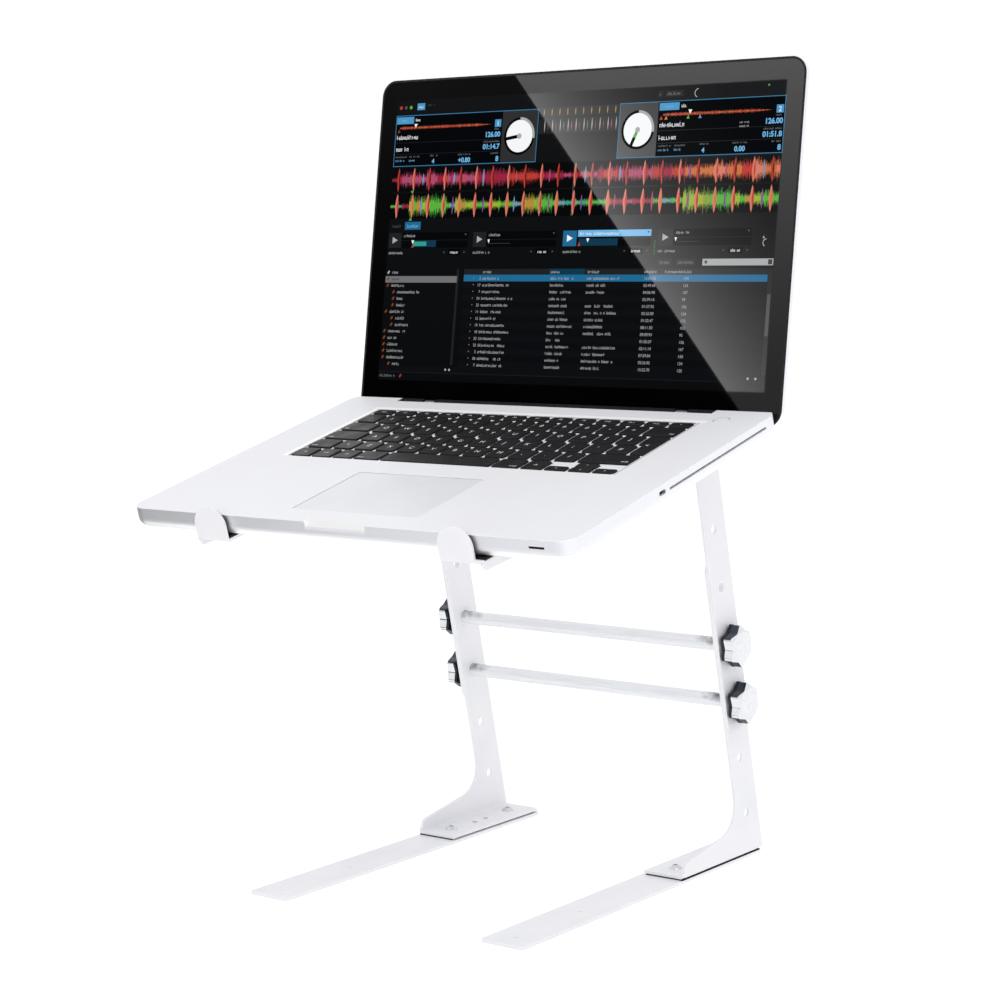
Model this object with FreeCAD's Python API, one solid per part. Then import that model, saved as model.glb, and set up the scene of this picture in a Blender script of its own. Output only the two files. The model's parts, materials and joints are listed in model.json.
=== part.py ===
"""A 15-inch notebook computer on a folded-steel height-adjustable stand, as a DJ uses it.

Millimetres, +Z up, +X to the user's right, +Y away from the user. The origin is the bottom
centre of the whole part's box. The stand is built in this frame. The notebook is built in a
deck frame whose z = 0 is the palm rest and whose y = 0 is the middle of its depth, and is
then tilted onto the arms. Its lid is built shut and then opened about the hinge line.
"""
import FreeCAD, Part
import math
import os
from FreeCAD import Placement, Rotation, Vector

# ---- stand: driving dimensions ----
SHEET = 2.0                     # folded steel sheet
PLATE_FRONT = 12.7              # hole line to the front edge of the leg plates
PLATE_REAR = 15.0
ARM_OUTER_X = 118.3             # outer faces of the two support arms
FLANGE_WIDTH = 32.0
HOLE_PITCH = 42.7
HOLE_R = 3.25                   # clearance holes for the M6 studs
LEAN = math.radians(12.3)       # legs lean towards the user as they rise
HOLE0_Y = 146.5
HOLE0_Z = 33.9
PLATE_END = 21.4                # plate beyond its last hole
END_CORNER_R = 8.0
PAD_T = 0.7                     # rubber pads under the foot bars
FOOT_T = 2.0
GASKET_T = 1.0                  # rubber strip between a foot bar and its leg
FOOT_WIDTH = 34.0
FOOT_FRONT_Y = -123.7
FOOT_REAR_Y = 168.0
FOOT_CORNER_R = 3.5
TOE_Y = 63.8                    # front end of the lower legs' flanges
TOE_NOSE_Z = 13.2
TOE_SLOPE = math.radians(10.0)
BASE_HOLE_YS = (-108.0, -37.0)  # open holes in each foot bar
BASE_HOLE_R = 2.3
PAD_YS = (-72.0, 20.0, 150.0)
FLANGE_SCREW_YS = (79.0, 149.0)
SPARE_HOLE_YS = (106.0, 119.5)
BAR_R = 4.85
STUD_R = 3.0
RUN = 0.05                      # radial running clearance
STUD_IN_BAR = 11.0
WASHER_T = 1.5
KNOB_COLLAR_T = 0.6
KNOB_SKIRT_T = 2.2              # rear part of the knob's head, a little larger than the cap
KNOB_HEAD_T = 10.6
KNOB_TIP_R = 15.8               # lobe tips before rounding
KNOB_VALLEY_R = 11.6
KNOB_TURN = 35.0                # degrees from the back to the first lobe

# ---- notebook: driving dimensions ----
CASE_W = 364.4
CASE_FRONT_Y = -124.65
CASE_REAR_Y = 123.35
CASE_H = 14.8
CASE_CORNER_R = 12.0
CASE_WALL_Z = -7.8              # split line between top case and bottom cover
UNDER_R = 7.0                   # rounding of the bottom cover's edge
TILT = math.radians(14.1)
DECK_Y = -39.55                 # where the deck frame's origin sits in the row frame
DECK_Z = 297.5
SKIN = 2.3                      # thickness of the machined top skin
WALL = 2.4
COVER_T = 1.1
REST_GAP = 0.1                  # notebook to arm pads
SCREW_SPOTS = [(x, y) for x in (-170.0, -57.0, 57.0, 170.0) for y in (-113.0, 106.0)]
SCREW_SPOTS += [(-170.0, 0.0), (170.0, -40.0)]
LAPTOP_FOOT_SPOTS = [(x, y) for x in (-150.0, 150.0) for y in (-92.0, 96.0)]

# ---- stand arms that carry the notebook ----
LINING_T = 1.2                  # rubber lining of an arm
HOOK_Y = CASE_FRONT_Y - 2.3     # inner face of the hook's steel
HOOK_TOP_Z = 6.0
HOOK_WIDTH = 26.4
RIGHT_ARM_INNER_X = 85.3        # free edge of each arm's flange, measured from the middle
LEFT_ARM_INNER_X = 91.9
ARM_REAR_Y = 120.6

# ---- openings in the notebook's sides ----
LEFT_PORTS = (                  # centre y, width and height of the sockets, back to front
    (97.0, 17.0, 3.4), (74.0, 12.5, 5.0), (54.0, 9.6, 4.6), (38.0, 8.4, 4.4),
    (22.0, 13.0, 4.8), (4.0, 13.0, 4.8), (-22.0, 26.0, 2.2),
)
AUDIO_YS = (-43.0, -53.0)
PORT_Z = -4.9
DISC_SLOT = (-15.0, 105.0, -6.4, -4.7)
LOCK_SLOT = (-27.0, -19.6, -6.7, -3.6)
RECEIVER = (151.5, 163.1, -5.9, -4.3)

# ---- keyboard ----
KEY_U = 18.95
KEY_ROW = 18.6
KEY_GAP = 2.9
KEY_FRONT_Y = -9.0
FUNCTION_KEY_DEPTH = 7.7
KEY_TOP_Z = 0.2
KEY_CAP_T = 2.0
KEY_CORNER_R = 1.6
KEY_CLEARANCE = 0.35
KEYBOARD_UNITS = 14.5
WELL_DEPTH = 1.1
WELL_MARGIN = 1.6
TRAY_TOP_Z = -3.7
TRAY_T = 0.9

# ---- trackpad and button ----
PAD_HALF_W = 52.2
PAD_FRONT_Y = -104.7
PAD_REAR_Y = -33.5
PAD_GLASS_T = 1.6
PAD_RECESS = 0.25
BUTTON_XY = (151.0, 101.0)
BUTTON_R = 5.6

# ---- hinge and lid ----
HINGE_Y = CASE_REAR_Y - 4.6
HINGE_Z = -5.5
LID_OPEN = math.radians(112.5)
LID_STOP = math.radians(129.6)  # where the lid's rear edge meets the bottom cover
LID_GAP = 0.5                   # glass to palm rest when shut
SWING_R = 5.6                   # room for the lid's rear edge about the hinge line
LID_T = 6.3
NOTCH_HALF_W = 136.0
NOTCH_FRONT_Y = 112.8
NOTCH_FLOOR_Z = -11.8
BARREL_R = 5.6
KNUCKLE_XS = (-109.0, 109.0)
KNUCKLE_W = 10.0
KNUCKLE_R = 4.6
PIN_R = 2.0

# ---- cooling ----
FAN_CENTRES = ((-120.0, 66.0), (0.0, 66.0))
FAN_R = 24.0
FAN_Z = (-12.6, -6.4)

foot_top = PAD_T + FOOT_T
leg_base = foot_top + GASKET_T
plate_outer_x = ARM_OUTER_X - SHEET
foot_inner_x = plate_outer_x - FOOT_WIDTH
foot_mid_x = plate_outer_x - FOOT_WIDTH / 2
flange_top_z = -CASE_H - REST_GAP - LINING_T
flange_under_z = flange_top_z - SHEET
glass_rear_y = CASE_REAR_Y - 1.6

deck_placement = Placement(Vector(0, DECK_Y, DECK_Z), Rotation(Vector(1, 0, 0), math.degrees(TILT)))


# ---------------------------------------------------------------- small helpers
def box(x0, x1, y0, y1, z0, z1):
    return Part.makeBox(x1 - x0, y1 - y0, z1 - z0, Vector(x0, y0, z0))


def cylinder_x(x0, x1, y, z, r):
    return Part.makeCylinder(r, x1 - x0, Vector(x0, y, z), Vector(1, 0, 0))


def cylinder_z(x, y, z0, z1, r):
    return Part.makeCylinder(r, z1 - z0, Vector(x, y, z0), Vector(0, 0, 1))


def rounded_outline(corners, to_space):
    """A closed wire from (u, v, radius) corners, each rounded by an arc of that radius."""
    edges = []
    starts = []
    ends = []
    count = len(corners)
    for i, (u, v, radius) in enumerate(corners):
        here = Vector(u, v, 0)
        before = (Vector(corners[i - 1][0], corners[i - 1][1], 0) - here).normalize()
        after = Vector(corners[(i + 1) % count][0], corners[(i + 1) % count][1], 0) - here
        after.normalize()
        if radius <= 0:
            starts.append(here)
            ends.append(here)
            continue
        half = before.getAngle(after) / 2
        reach = radius / math.tan(half)
        middle = (before + after).normalize() * (radius / math.sin(half))
        centre = here + middle
        starts.append(here + before * reach)
        ends.append(here + after * reach)
        top = centre - middle.normalize() * radius
        edges.append(Part.Arc(to_space(starts[i]), to_space(top), to_space(ends[i])).toShape())
    for i in range(count):
        following = starts[(i + 1) % count]
        if (following - ends[i]).Length > 1e-6:
            edges.append(Part.makeLine(to_space(ends[i]), to_space(following)))
    return Part.Wire(Part.__sortEdges__(edges))


def plate_yz(corners, x0, x1):
    wire = rounded_outline(corners, lambda p: Vector(x0, p.x, p.y))
    return Part.Face(wire).extrude(Vector(x1 - x0, 0, 0))


def plate_xz(corners, y0, y1):
    wire = rounded_outline(corners, lambda p: Vector(p.x, y0, p.y))
    return Part.Face(wire).extrude(Vector(0, y1 - y0, 0))


def plate_xy(corners, z0, z1):
    wire = rounded_outline(corners, lambda p: Vector(p.x, p.y, z0))
    return Part.Face(wire).extrude(Vector(0, 0, z1 - z0))


def slab(x0, x1, y0, y1, z0, z1, r):
    return plate_xy([(x0, y0, r), (x1, y0, r), (x1, y1, r), (x0, y1, r)], z0, z1)


def fuse_all(shapes):
    result = shapes[0]
    for shape in shapes[1:]:
        result = result.fuse(shape)
    return result.removeSplitter()


def group(shapes):
    """Separate solids that share one node."""
    return Part.makeCompound(shapes)


def mirrored(shape):
    return shape.mirror(Vector(0, 0, 0), Vector(1, 0, 0))


def edges_at_z(shape, z):
    flat = []
    for edge in shape.Edges:
        low = edge.BoundBox.ZMin
        high = edge.BoundBox.ZMax
        if abs(low - z) < 1e-4 and abs(high - z) < 1e-4:
            flat.append(edge)
    return flat


def on_deck(shape):
    placed = shape.copy()
    placed.Placement = deck_placement.multiply(placed.Placement)
    return placed


def in_lid(shape):
    """Opens a lid piece about the hinge line, then puts it on the deck."""
    opened = shape.copy()
    opened.rotate(Vector(0, HINGE_Y, HINGE_Z), Vector(1, 0, 0), -math.degrees(LID_OPEN))
    return on_deck(opened)


def deck_point(y, z):
    """Row-frame (y, z) of a point given in the deck frame."""
    return (DECK_Y + y * math.cos(TILT) - z * math.sin(TILT),
            DECK_Z + y * math.sin(TILT) + z * math.cos(TILT))


def leg_point(along, across):
    """Row-frame (y, z) of a point along a leg from hole 0, and across it towards the back."""
    return (HOLE0_Y - along * math.sin(LEAN) + across * math.cos(LEAN),
            HOLE0_Z + along * math.cos(LEAN) + across * math.sin(LEAN))


def leg_edge_at_z(across, z):
    """Where a leg edge crosses a height."""
    along = (z - HOLE0_Z - across * math.sin(LEAN)) / math.cos(LEAN)
    return leg_point(along, across)


def crossing(a, b, c, d):
    """Where the line through a and b meets the line through c and d."""
    ab = (b[0] - a[0], b[1] - a[1])
    cd = (d[0] - c[0], d[1] - c[1])
    t = ((c[0] - a[0]) * cd[1] - (c[1] - a[1]) * cd[0]) / (ab[0] * cd[1] - ab[1] * cd[0])
    return (a[0] + t * ab[0], a[1] + t * ab[1])


def corner(point, radius):
    return (point[0], point[1], radius)


def drill_leg(plate, holes):
    for index in holes:
        y, z = leg_point(index * HOLE_PITCH, 0)
        plate = plate.cut(cylinder_x(100, 130, y, z, HOLE_R))
    return plate


# ---------------------------------------------------------------- stand
def foot_bar():
    bar = slab(foot_inner_x, plate_outer_x, FOOT_FRONT_Y, FOOT_REAR_Y, PAD_T, foot_top, FOOT_CORNER_R)
    for y in BASE_HOLE_YS:
        bar = bar.cut(cylinder_z(foot_mid_x, y, 0, foot_top + 1, BASE_HOLE_R))
    for y in FLANGE_SCREW_YS:
        bar = bar.cut(cylinder_z(foot_mid_x, y, 0, foot_top + 1, 2.5))
    return bar


def foot_pads():
    pads = [cylinder_z(foot_mid_x, y, 0, PAD_T, 11.0) for y in PAD_YS]
    return group(pads + [mirrored(pad) for pad in pads])


def flange_gaskets():
    """Rubber strip under each leg's flange, kept back from the flange's free edge."""
    inner_x = plate_outer_x - FLANGE_WIDTH + 1.5
    rear_y = leg_edge_at_z(PLATE_REAR, leg_base)[0] - 4
    strip = box(inner_x, plate_outer_x - 0.4, TOE_Y - 1.4, rear_y, foot_top, leg_base)
    for y in FLANGE_SCREW_YS:
        strip = strip.cut(cylinder_z(foot_mid_x, y, 0, 10, 2.6))
    return group([strip, mirrored(strip)])


def lower_leg():
    """The upright plate with its toe, and the flange folded inwards from its foot."""
    fold_z = leg_base + SHEET
    nose = (TOE_Y, TOE_NOSE_Z)
    slope_far = (TOE_Y + 50, TOE_NOSE_Z + 50 * math.tan(TOE_SLOPE))
    knee = crossing(nose, slope_far, leg_point(0, -PLATE_FRONT), leg_point(100, -PLATE_FRONT))
    top = 4 * HOLE_PITCH + PLATE_END
    outline = [
        corner((TOE_Y + 1.0, leg_base + 0.8), 0),
        corner(nose, 5.0),
        corner(knee, 20.0),
        corner(leg_point(top, -PLATE_FRONT), END_CORNER_R),
        corner(leg_point(top, PLATE_REAR), END_CORNER_R),
        corner(leg_edge_at_z(PLATE_REAR, leg_base + 0.8), 0),
    ]
    web = plate_yz(outline, plate_outer_x - SHEET, plate_outer_x)
    rear_y = leg_edge_at_z(PLATE_REAR, leg_base)[0]
    fold = [
        (plate_outer_x - FLANGE_WIDTH, leg_base, 0),
        (plate_outer_x, leg_base, 2.4),
        (plate_outer_x, leg_base + 4, 0),
        (plate_outer_x - SHEET, leg_base + 4, 0),
        (plate_outer_x - SHEET, fold_z, 0.6),
        (plate_outer_x - FLANGE_WIDTH, fold_z, 0),
    ]
    flange = plate_xz(fold, TOE_Y - 1.5, rear_y - 0.9)
    leg = fuse_all([web, flange])
    for y in FLANGE_SCREW_YS:
        leg = leg.cut(cylinder_z(foot_mid_x, y, 0, 10, 2.5))
    for y in SPARE_HOLE_YS:
        leg = leg.cut(cylinder_z(foot_mid_x - 1, y, 0, 10, 2.3))
    return drill_leg(leg, range(5))


def flange_screws():
    """Button-head screws that hold each leg's flange to its foot bar."""
    screws = []
    head_z = leg_base + SHEET
    for y in FLANGE_SCREW_YS:
        shank = cylinder_z(foot_mid_x, y, PAD_T + 0.3, head_z, 2.5)
        dome = Part.makeSphere(5.6, Vector(foot_mid_x, y, head_z - 3.0))
        head = cylinder_z(foot_mid_x, y, head_z, head_z + 2.7, 4.75).common(dome)
        screws.append(fuse_all([shank, head]).cut(hexagon(foot_mid_x, y, head_z + 1.1, 2.0, 1.6)))
    return group(screws + [mirrored(screw) for screw in screws])


def hexagon(x, y, z, height, radius):
    points = [(x + radius * math.cos(math.radians(60 * i)),
               y + radius * math.sin(math.radians(60 * i)), 0) for i in range(6)]
    return plate_xy(points, z, z + height)


def arm_web_outline():
    """Side outline of an arm's web, from its hook, along the notebook and down the leg."""
    low = 2 * HOLE_PITCH - PLATE_END
    web_front = deck_point(-127.4, -21.6)
    web_slope = deck_point(95.0, -37.8)
    front_edge = (leg_point(low, -PLATE_FRONT), leg_point(low + 100, -PLATE_FRONT))
    rear_edge = (leg_point(low, PLATE_REAR), leg_point(low + 100, PLATE_REAR))
    top_rear = crossing(deck_point(130, flange_under_z - 1.6), deck_point(120, flange_under_z - 1.6),
                        *rear_edge)
    return [
        corner(deck_point(-129.4, flange_under_z + 1.2), 0),
        corner(web_front, 3.0),
        corner(crossing(web_front, web_slope, *front_edge), 14.0),
        corner(front_edge[0], END_CORNER_R),
        corner(rear_edge[0], END_CORNER_R),
        corner(top_rear, 7.0),
        corner(deck_point(122.8, flange_under_z - 1.6), 0),
        corner(deck_point(120.6, flange_under_z + 0.6), 0),
    ]


def hook_front(inner_x, inset):
    """Front outline of an arm's flange and its round-topped hook."""
    left = inner_x + inset
    right = inner_x + HOOK_WIDTH - inset
    outer = ARM_OUTER_X - inset
    top = HOOK_TOP_Z - inset
    low = flange_top_z if inset > 0 else flange_under_z
    step_z = flange_top_z + LINING_T
    corners = [(left, low, 0), (outer, low, 0 if inset > 0 else 2.4)]
    if outer - right > 0.5:
        corners += [(outer, step_z, 0), (right, step_z, 0)]
    round_r = HOOK_WIDTH / 2 - inset - 0.01
    return corners + [(right, top, round_r), (left, top, round_r)]


def arm_flange(inner_x):
    """The carrying flange with the hook folded up at its front end."""
    side = [
        (HOOK_Y - SHEET, HOOK_TOP_Z, 0),
        (HOOK_Y, HOOK_TOP_Z, 0),
        (HOOK_Y, flange_top_z, 1.2),
        (ARM_REAR_Y, flange_top_z, 0),
        (ARM_REAR_Y, flange_under_z, 0),
        (HOOK_Y - SHEET, flange_under_z, 3.2),
    ]
    strip = plate_yz(side, inner_x, ARM_OUTER_X)
    return strip.common(plate_xz(hook_front(inner_x, 0), HOOK_Y - SHEET - 1, ARM_REAR_Y + 1))


def support_arm(inner_x):
    web = plate_yz(arm_web_outline(), ARM_OUTER_X - SHEET, ARM_OUTER_X)
    arm = fuse_all([web, on_deck(arm_flange(inner_x))])
    return drill_leg(arm, range(2, 7))


def arm_pad(inner_x):
    """Black rubber lining on the flange and the inside of the hook."""
    inset = 1.0
    side = [
        (HOOK_Y, HOOK_TOP_Z - inset, 0),
        (HOOK_Y + LINING_T, HOOK_TOP_Z - inset, 0),
        (HOOK_Y + LINING_T, flange_top_z + LINING_T, 0),
        (ARM_REAR_Y - 3, flange_top_z + LINING_T, 0),
        (ARM_REAR_Y - 3, flange_top_z, 0),
        (HOOK_Y, flange_top_z, 1.2),
    ]
    strip = plate_yz(side, inner_x + inset, ARM_OUTER_X - inset)
    return on_deck(strip.common(plate_xz(hook_front(inner_x, inset), HOOK_Y - 1, ARM_REAR_Y + 1)))


def crossbar(hole):
    """Galvanised rod between the lower legs, tapped at both ends."""
    y, z = leg_point(hole * HOLE_PITCH, 0)
    inner_x = plate_outer_x - SHEET
    rod = cylinder_x(-inner_x, inner_x, y, z, BAR_R)
    for start in (-inner_x, inner_x - STUD_IN_BAR - 4):
        rod = rod.cut(cylinder_x(start, start + STUD_IN_BAR + 4, y, z, STUD_R + RUN))
    return rod


def knob_washer(hole):
    y, z = leg_point(hole * HOLE_PITCH, 0)
    ring = cylinder_x(ARM_OUTER_X, ARM_OUTER_X + WASHER_T, y, z, 8.5)
    return ring.cut(cylinder_x(ARM_OUTER_X - 1, ARM_OUTER_X + WASHER_T + 1, y, z, STUD_R + RUN))


def knob_stud(hole):
    y, z = leg_point(hole * HOLE_PITCH, 0)
    start = plate_outer_x - SHEET - STUD_IN_BAR
    stud = cylinder_x(start, ARM_OUTER_X + WASHER_T + 7, y, z, STUD_R)
    return stud.makeChamfer(0.6, [stud.Edges[0], stud.Edges[2]])


def star_outline(y, z, tip_r, valley_r):
    """Side outline of a knob with six pointed lobes."""
    corners = []
    for i in range(12):
        angle = math.radians(KNOB_TURN + 30 * i)
        reach = valley_r if i % 2 else tip_r
        rounding = 4.0 if i % 2 else 2.2
        corners.append((y + reach * math.cos(angle), z + reach * math.sin(angle), rounding))
    return corners


def star_knob(hole):
    """Clamping knob: collar, star-shaped skirt and domed cap."""
    y, z = leg_point(hole * HOLE_PITCH, 0)
    seat_x = ARM_OUTER_X + WASHER_T
    head_x = seat_x + KNOB_COLLAR_T
    cap_x = head_x + KNOB_SKIRT_T
    face_x = head_x + KNOB_HEAD_T
    skirt = plate_yz(star_outline(y, z, KNOB_TIP_R + 0.3, KNOB_VALLEY_R + 0.3), head_x, cap_x)
    cap = plate_yz(star_outline(y, z, KNOB_TIP_R, KNOB_VALLEY_R), cap_x, face_x)
    profile = [
        (cap_x, 0, 0), (cap_x, 15.4, 0), (face_x - 2.6, 15.4, 1.6), (face_x - 1.2, 11.0, 9.0), (face_x, 0, 0),
    ]
    wire = rounded_outline(profile, lambda p: Vector(p.x, y, z + p.y))
    dome = Part.Face(wire).revolve(Vector(0, y, z), Vector(1, 0, 0), 360)
    knob = fuse_all([cap.common(dome), skirt, cylinder_x(seat_x, head_x + 1, y, z, 7.5)])
    return knob.cut(cylinder_x(seat_x - 1, seat_x + 7, y, z, STUD_R))


# ---------------------------------------------------------------- notebook base
def case_blank():
    blank = slab(-CASE_W / 2, CASE_W / 2, CASE_FRONT_Y, CASE_REAR_Y, -CASE_H, 0, CASE_CORNER_R)
    blank = blank.makeFillet(UNDER_R, edges_at_z(blank, -CASE_H))
    return blank.makeFillet(0.5, edges_at_z(blank, 0))


def hinge_notch():
    return box(-NOTCH_HALF_W, NOTCH_HALF_W, NOTCH_FRONT_Y, CASE_REAR_Y + 5, NOTCH_FLOOR_Z, 5)


def lid_swing():
    """What the lid's rear edge would meet above the hinge line as it swings up."""
    w = CASE_W / 2 + 1
    behind = box(-w, w, HINGE_Y, CASE_REAR_Y + 1, HINGE_Z, 1)
    return behind.cut(cylinder_x(-w - 1, w + 1, HINGE_Y, HINGE_Z, SWING_R))


def lid_rest():
    """The flat under the rear edge where the lid stops when it is fully open."""
    w = CASE_W / 2 + 1
    lid = box(-w, w, 60.0, CASE_REAR_Y + 2, HINGE_Z + SWING_R, 20.0)
    lid.rotate(Vector(0, HINGE_Y, HINGE_Z), Vector(1, 0, 0), -math.degrees(LID_STOP))
    return lid


def thumb_scoop():
    """The slanted finger recess in the middle of the front edge."""
    profile = [
        (CASE_FRONT_Y - 1, 1.0, 0), (CASE_FRONT_Y + 3.9, 1.0, 0), (CASE_FRONT_Y + 3.3, 0, 0),
        (CASE_FRONT_Y, -5.4, 0), (CASE_FRONT_Y - 1, -5.4, 0),
    ]
    return plate_yz(profile, -25.0, 25.0)


def key_row_y(row):
    """Front edge of a key row; row 0 is the space bar's."""
    return KEY_FRONT_Y + row * KEY_ROW


def key_block(column, row, units, depth=None, front_shift=0.0):
    """Outline (x0, x1, y0, y1) of a key: its left edge in units, its row and its width in units."""
    left = -KEYBOARD_UNITS * KEY_U / 2 + KEY_GAP / 2
    full = KEY_ROW - KEY_GAP
    x0 = left + column * KEY_U
    x1 = x0 + units * KEY_U - KEY_GAP
    y0 = key_row_y(row) + front_shift
    return (x0, x1, y0, y0 + (full if depth is None else depth))


def key_layout():
    """Every rectangular key, by the group it moves with."""
    half = (KEY_ROW - KEY_GAP - 0.5) / 2
    layout = {}
    wide = KEYBOARD_UNITS / 14
    layout["function_keys"] = [key_block(i * wide, 5, wide, FUNCTION_KEY_DEPTH) for i in range(14)]
    layout["number_keys"] = [key_block(i, 4, 1) for i in range(13)]
    layout["upper_letter_keys"] = [key_block(1.5 + i, 3, 1) for i in range(12)]
    layout["home_letter_keys"] = [key_block(1.75 + i, 2, 1) for i in range(12)]
    layout["lower_letter_keys"] = [key_block(1.25 + i, 1, 1) for i in range(11)]
    layout["modifier_keys"] = [
        key_block(13, 4, 1.5), key_block(0, 3, 1.5), key_block(0, 2, 1.75),
        key_block(0, 1, 1.25), key_block(12.25, 1, 2.25),
        key_block(0, 0, 1), key_block(1, 0, 1), key_block(2, 0, 1), key_block(3, 0, 1.25),
        key_block(9.25, 0, 1.25), key_block(10.5, 0, 1),
    ]
    layout["space_bar"] = [key_block(4.25, 0, 5)]
    layout["arrow_keys"] = [
        key_block(11.5, 0, 1, half), key_block(12.5, 0, 1, half), key_block(13.5, 0, 1, half),
        key_block(12.5, 0, 1, half, half + 0.5),
    ]
    return layout


def return_key_corners(grow=0.0):
    """The two-row return key: one unit wide above, three quarters below."""
    upper = key_block(13.5, 3, 1)
    lower = key_block(13.75, 2, 0.75)
    r = KEY_CORNER_R
    return [
        (lower[0] - grow, lower[2] - grow, r), (lower[1] + grow, lower[2] - grow, r),
        (upper[1] + grow, upper[3] + grow, r), (upper[0] - grow, upper[3] + grow, r),
        (upper[0] - grow, upper[2] - grow, r), (lower[0] - grow, upper[2] - grow, r),
    ]


def key_cap(block):
    x0, x1, y0, y1 = block
    cap = slab(x0, x1, y0, y1, KEY_TOP_Z - KEY_CAP_T, KEY_TOP_Z, KEY_CORNER_R)
    return cap.makeChamfer(0.35, edges_at_z(cap, KEY_TOP_Z))


def key_group(name):
    caps = [key_cap(block) for block in key_layout()[name]]
    return on_deck(group(caps) if len(caps) > 1 else caps[0])


def return_key():
    cap = plate_xy(return_key_corners(), KEY_TOP_Z - KEY_CAP_T, KEY_TOP_Z)
    return on_deck(cap.makeChamfer(0.35, edges_at_z(cap, KEY_TOP_Z)))


def key_openings():
    cuts = []
    c = KEY_CLEARANCE
    for blocks in key_layout().values():
        for x0, x1, y0, y1 in blocks:
            cuts.append(slab(x0 - c, x1 + c, y0 - c, y1 + c, -SKIN - 1, 1, KEY_CORNER_R))
    cuts.append(plate_xy(return_key_corners(c), -SKIN - 1, 1))
    return cuts


def keyboard_well():
    half = KEYBOARD_UNITS * KEY_U / 2 - KEY_GAP / 2 + WELL_MARGIN
    rear = key_row_y(5) + FUNCTION_KEY_DEPTH + WELL_MARGIN
    return slab(-half, half, KEY_FRONT_Y - WELL_MARGIN, rear, -WELL_DEPTH, 1, 2.5)


def trackpad_opening():
    return slab(-PAD_HALF_W - 0.3, PAD_HALF_W + 0.3, PAD_FRONT_Y - 0.3, PAD_REAR_Y + 0.3, -SKIN - 1, 1, 2.3)


def side_cut(sign, y0, y1, z0, z1, depth):
    edge = sign * CASE_W / 2
    x0 = min(edge + sign, edge - sign * depth)
    x1 = max(edge + sign, edge - sign * depth)
    r = min(y1 - y0, z1 - z0) * 0.45
    return plate_yz([(y0, z0, r), (y1, z0, r), (y1, z1, r), (y0, z1, r)], x0, x1)


def port_cuts(depth):
    cuts = [side_cut(-1, y - w / 2, y + w / 2, PORT_Z - h / 2, PORT_Z + h / 2, depth)
            for y, w, h in LEFT_PORTS]
    cuts += [cylinder_x(-CASE_W / 2 - 1, -CASE_W / 2 + depth, y, PORT_Z, 2.2) for y in AUDIO_YS]
    return cuts


def receiver_cut(depth):
    x0, x1, z0, z1 = RECEIVER
    return plate_xz([(x0, z0, 0.5), (x1, z0, 0.5), (x1, z1, 0.5), (x0, z1, 0.5)],
                    CASE_FRONT_Y - 1, CASE_FRONT_Y + depth)


def base_case():
    """Machined top case: skin, side walls, keyboard web, slots and the hinge notch."""
    w = CASE_W / 2
    case = case_blank().common(box(-w - 1, w + 1, CASE_FRONT_Y - 1, CASE_REAR_Y + 1, CASE_WALL_Z, 1))
    case = case.cut(slab(-w + WALL, w - WALL, CASE_FRONT_Y + 5.0, CASE_REAR_Y - WALL,
                         CASE_WALL_Z - 1, -SKIN, CASE_CORNER_R - WALL))
    case = case.cut(hinge_notch()).cut(lid_swing()).cut(thumb_scoop())
    case = case.cut(keyboard_well()).cut(trackpad_opening())
    case = case.cut(group(key_openings()))
    case = case.cut(cylinder_z(BUTTON_XY[0], BUTTON_XY[1], -SKIN - 1, 1, BUTTON_R + 0.3))
    case = case.cut(side_cut(1, *DISC_SLOT, WALL + 1)).cut(side_cut(1, *LOCK_SLOT, WALL + 1))
    case = case.cut(receiver_cut(5.5)).cut(group(port_cuts(WALL + 1)))
    return on_deck(case)


def cover_cavity():
    w = CASE_W / 2 - WALL
    cavity = slab(-w, w, CASE_FRONT_Y + WALL, CASE_REAR_Y - WALL, -CASE_H + COVER_T, CASE_WALL_Z + 1,
                  CASE_CORNER_R - WALL)
    return cavity.makeFillet(UNDER_R - 1.0, edges_at_z(cavity, -CASE_H + COVER_T))


def bottom_cover():
    w = CASE_W / 2
    cover = case_blank().common(box(-w - 1, w + 1, CASE_FRONT_Y - 1, CASE_REAR_Y + 1, -CASE_H - 1, CASE_WALL_Z))
    cover = cover.cut(cover_cavity()).cut(hinge_notch()).cut(lid_rest())
    for x, y in SCREW_SPOTS:
        cover = cover.cut(cylinder_z(x, y, -CASE_H - 1, -CASE_H + 0.5, 2.1))
    return on_deck(cover)


def cover_screws():
    heads = []
    for x, y in SCREW_SPOTS:
        head = cylinder_z(x, y, -CASE_H, -CASE_H + 0.5, 2.0)
        slot_long = box(x - 1.1, x + 1.1, y - 0.25, y + 0.25, -CASE_H - 0.1, -CASE_H + 0.3)
        slot_wide = box(x - 0.25, x + 0.25, y - 1.1, y + 1.1, -CASE_H - 0.1, -CASE_H + 0.3)
        heads.append(head.cut(slot_long).cut(slot_wide))
    return on_deck(group(heads))


def laptop_feet():
    feet = []
    for x, y in LAPTOP_FOOT_SPOTS:
        foot = cylinder_z(x, y, -CASE_H - 1.2, -CASE_H, 8.0)
        feet.append(foot.makeFillet(0.6, edges_at_z(foot, -CASE_H - 1.2)))
    return on_deck(group(feet))


def keyboard_tray():
    half = KEYBOARD_UNITS * KEY_U / 2 + 2.0
    front = KEY_FRONT_Y - 5
    rear = key_row_y(5) + FUNCTION_KEY_DEPTH + 4
    tray = box(-half, half, front, rear, TRAY_TOP_Z - TRAY_T, -SKIN)
    return on_deck(tray.cut(box(-half + 1, half - 1, front + 1, rear - 1, TRAY_TOP_Z, 0)))


def trackpad():
    glass = slab(-PAD_HALF_W, PAD_HALF_W, PAD_FRONT_Y, PAD_REAR_Y, -PAD_RECESS - PAD_GLASS_T, -PAD_RECESS, 2.0)
    return on_deck(glass)


def power_button():
    x, y = BUTTON_XY
    button = cylinder_z(x, y, -2.2, -0.1, BUTTON_R)
    return on_deck(button.makeFillet(0.35, edges_at_z(button, -0.1)))


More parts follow.
